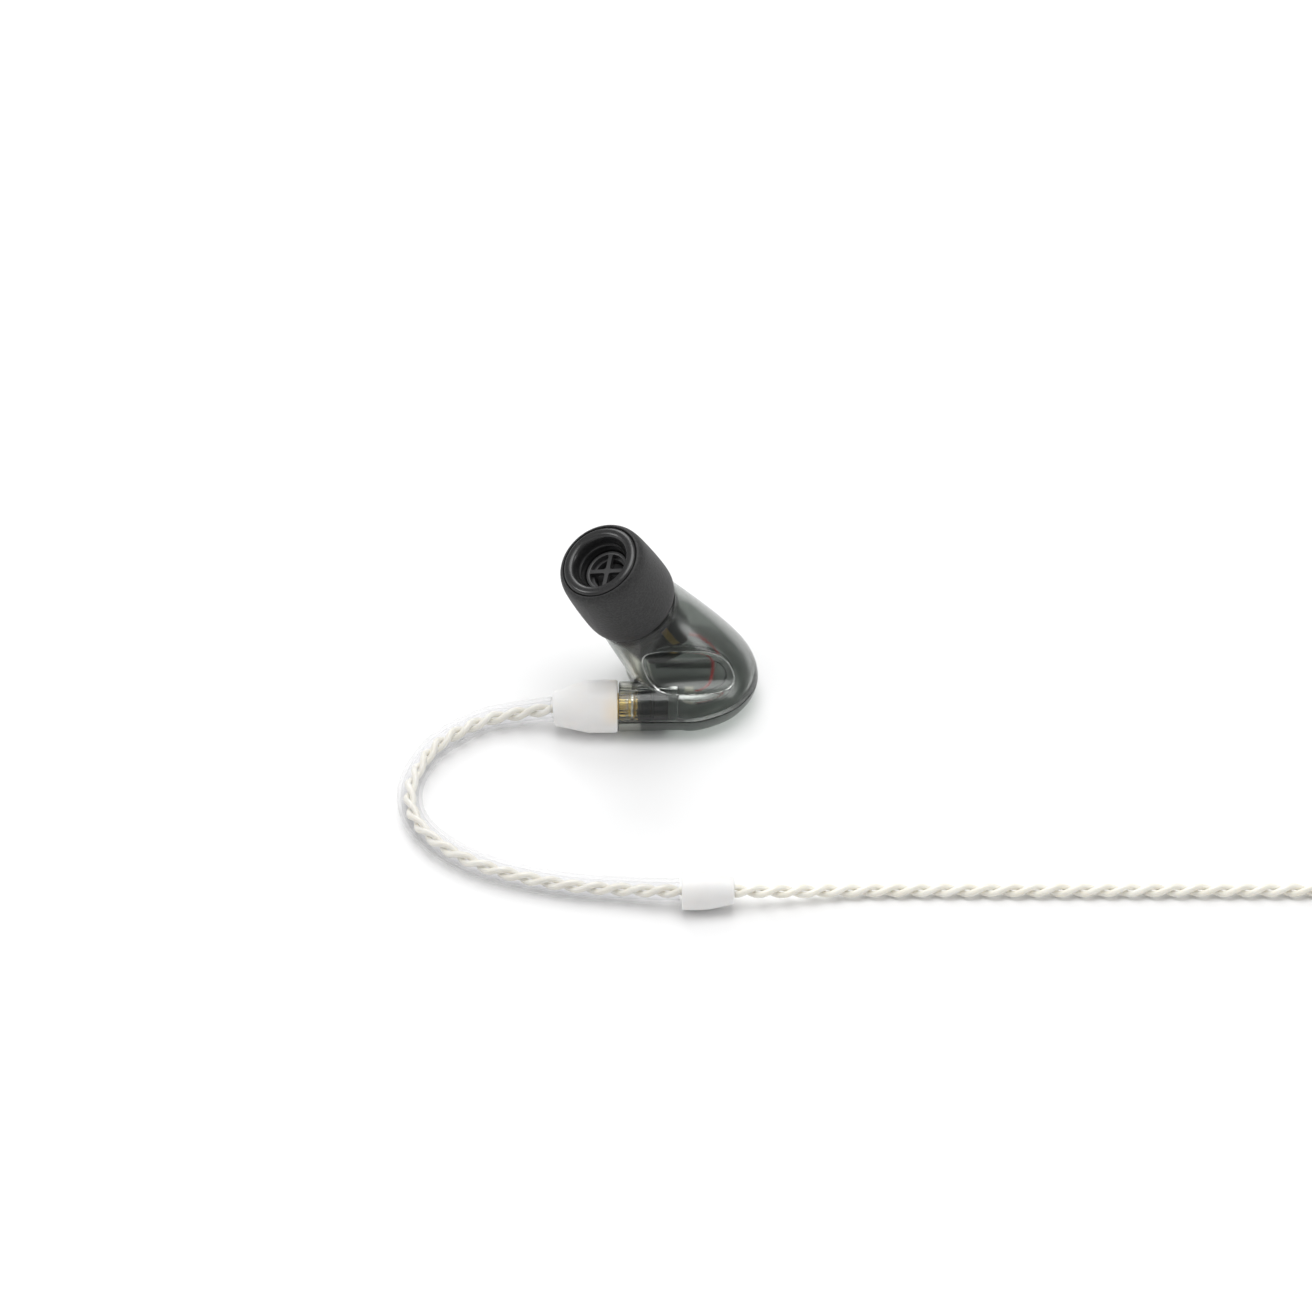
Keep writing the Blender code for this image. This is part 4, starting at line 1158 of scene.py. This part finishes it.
RED_ROUTE = (
    (-0.7, 2.95, 7.7), (1.3, 2.95, 7.3), (2.97, 2.1, 6.3), (3.5, 1.25, 5.0), (3.5, 0.4, 3.6),
    (3.1, -1.4, 2.6), (2.1, -3.0, 2.6), (1.35, -3.9, 3.0),
)
BLACK_ROUTE = (
    (-3.9, 1.5, 3.1), (-0.5, 1.7, 3.6), (2.5, 2.4, 3.9), (4.5, 2.0, 3.9), (5.5, 0.5, 3.3),
    (4.8, -1.5, 2.4), (3.0, -2.8, 1.7), (1.4, -3.7, 1.9),
)
enamel = {"size": 0.8, "detail": 2, "gloss": (0.22, 0.15), "Coat_Weight": 0.3}
red = grained("red_wire_enamel", (0.50, 0.015, 0.018), (0.68, 0.04, 0.04), **enamel)
dark = grained("black_wire_enamel", (0.006, 0.006, 0.007), (0.02, 0.02, 0.022), **enamel)
for name, route, look, node, slot in (
    ("red_lead_wire", RED_ROUTE, red, "red_wire", "red_enamel"),
    ("black_lead_wire", BLACK_ROUTE, dark, "black_wire", "black_enamel"),
):
    wire = skin(name, rings_along(smooth_route(route, 0.2), 0.2, 12), look)
    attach(wire, "earpiece")
    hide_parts(node)

block_dark, block_pale = (0.66, 0.60, 0.47), (0.80, 0.75, 0.62)
duct_dark, duct_pale = (0.10, 0.115, 0.10), (0.16, 0.18, 0.16)
felt_dark, felt_pale = (0.6, 0.6, 0.58), (0.8, 0.8, 0.78)
felt = {"size": 0.1, "detail": 4, "relief": (0.03, 0.7), "Roughness": 0.9}
carried["solder_terminal"] = grained("terminal_cream", block_dark, block_pale, 0.4, 3, Roughness=0.45)
carried["vent_duct"] = grained("duct_smoke", duct_dark, duct_pale, 0.8, 2, Roughness=0.25)
carried["vent_filter"] = grained("filter_felt", felt_dark, felt_pale, **felt)


# ---------------------------------------------------------------- socket and plug
# A gold-plated coaxial plug snaps into a gold sleeve inside the barrel and swivels on a split steel ring.
# A black carrier holds the contacts at the barrel's blind end.

plug_matrix = axis_matrix((0, BARREL_Y, SEAM_Z), (1, 0, 0), Vector((0, 1, 0)))
gold = metal("gold_plate", (0.90, 0.64, 0.20), (1.0, 0.80, 0.36), 0.16, plug_matrix)
bright_steel = metal("spring_steel", (0.60, 0.61, 0.62), (0.78, 0.79, 0.80), 0.12, plug_matrix)
white = grained("white_liner", (0.70, 0.69, 0.66), (0.82, 0.81, 0.78), 0.5, 2, Roughness=0.4)
plug_profile = [
    (1.5, -6.45), (1.62, -6.48), (1.7, -6.65), (1.7, -7.26), (1.5, -7.3), (1.5, -7.7), (1.7, -7.74),
    (1.7, -8.35), (1.78, -8.4), (1.78, -8.6), (1.7, -8.65), (1.7, -12.0), (1.3, -12.0),
    (1.3, -6.45),
]
pin_profile = [(0, -5.9), (0.22, -5.95), (0.35, -6.2), (0.35, -11.8), (0, -11.8)]


def ring(outer, inner, top, base):
    return [(outer, top), (outer, base), (inner, base), (inner, top)]


plug_pieces = (
    ("plug_barrel", plug_profile, gold, "plug_shell", "gold", 0.05),
    ("plug_centre_pin", pin_profile, gold, "plug_pin", "gold", 0.08),
    ("plug_liner", ring(1.15, 0.5, -6.9, -11.8), white, "plug_insulator", "white_liner", 0.08),
)
snap_pieces = (("plug_snap_ring", ring(1.84, 1.62, -7.38, -7.62), bright_steel, "snap_ring", "steel", 0.07),)
socket_pieces = (
    ("socket_gold_sleeve", ring(2.05, 1.85, -4.3, -6.3), gold, "socket_sleeve", "gold", 0.05),
    ("socket_pin_cup", ring(0.55, 0.4, -4.5, -5.6), gold, "socket_contact", "gold", 0.04),
    ("socket_liner_ring", ring(1.7, 0.7, -4.3, -5.6), white, "socket_insulator", "white_liner", 0.06),
    ("socket_black_carrier", disc(2.2, -2.2, -4.15), can, "socket_carrier", "black_plastic", 0.12),
    ("socket_black_shroud", ring(2.3, 2.12, -4.25, -6.2), can, "socket_shroud", "black_plastic", 0.05),
    ("barrel_groove_ring", ring(2.42, 2.22, -6.7, -7.0), bright_steel, "barrel_ring", "steel", 0.06),
)
for body, pieces in (("cable", plug_pieces), ("snap_ring", snap_pieces), ("earpiece", socket_pieces)):
    for name, profile, look, node, slot, fillet in pieces:
        piece = turned(name, profile, plug_matrix, look, fillet)
        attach(piece, body)
        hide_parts(node)


# ---------------------------------------------------------------- kept parts
# The small parts inside the driver and beside the socket keep the shapes they are machined to.
# Each only has its own finish put on.

for node, look in carried.items():
    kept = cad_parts[node]
    kept.data.materials.clear()
    kept.data.materials.append(look)


# ---------------------------------------------------------------- table and light
# A plain white table under broad lamps behind and above, with a soft fill from the front.
# Two small lamps at the sides draw the highlights on the housing and the tip.

floor_z = cad_box[0].z
FLOOR_HALF = 3.0
bm = bmesh.new()
corners = [(-1, -1), (1, -1), (1, 1), (-1, 1)]
bm.faces.new([bm.verts.new((x * FLOOR_HALF, y * FLOOR_HALF, floor_z)) for x, y in corners])
floor_mesh = bpy.data.meshes.new("table")
bm.to_mesh(floor_mesh)
bm.free()
top = grained("white_table", (0.86, 0.86, 0.862), (0.88, 0.88, 0.882), 60, 2, Roughness=0.7)
table = linked("table", floor_mesh, top)


def lamp(name, place, aim, size, power):
    data = bpy.data.lights.new(name, "AREA")
    data.shape = "DISK"
    data.size = size
    data.energy = power
    made = bpy.data.objects.new(name, data)
    bpy.context.scene.collection.objects.link(made)
    made.location = place
    made.rotation_euler = (Vector(aim) - Vector(place)).to_track_quat("-Z", "Y").to_euler()


lamp("back_lamp", (-0.12, 0.75, 0.62), (0, -0.01, 0), 0.6, 3.0)
lamp("top_lamp", (0.05, 0.1, 0.95), (0, -0.01, 0), 0.9, 6.6)
lamp("front_fill", (-0.3, -0.8, 0.5), (0, -0.01, 0), 0.8, 0.8)
lamp("right_lamp", (0.75, -0.15, 0.42), (0, 0, 0.01), 0.3, 0.9)
lamp("left_lamp", (-0.8, -0.05, 0.45), (0, 0, 0.01), 0.24, 1.4)
world = bpy.data.worlds.new("studio")
bpy.context.scene.world = world
world.use_nodes = True
world.node_tree.nodes["Background"].inputs["Color"].default_value = (1, 1, 1, 1)
world.node_tree.nodes["Background"].inputs["Strength"].default_value = 0.3
bpy.context.scene.view_settings.view_transform = "Standard"
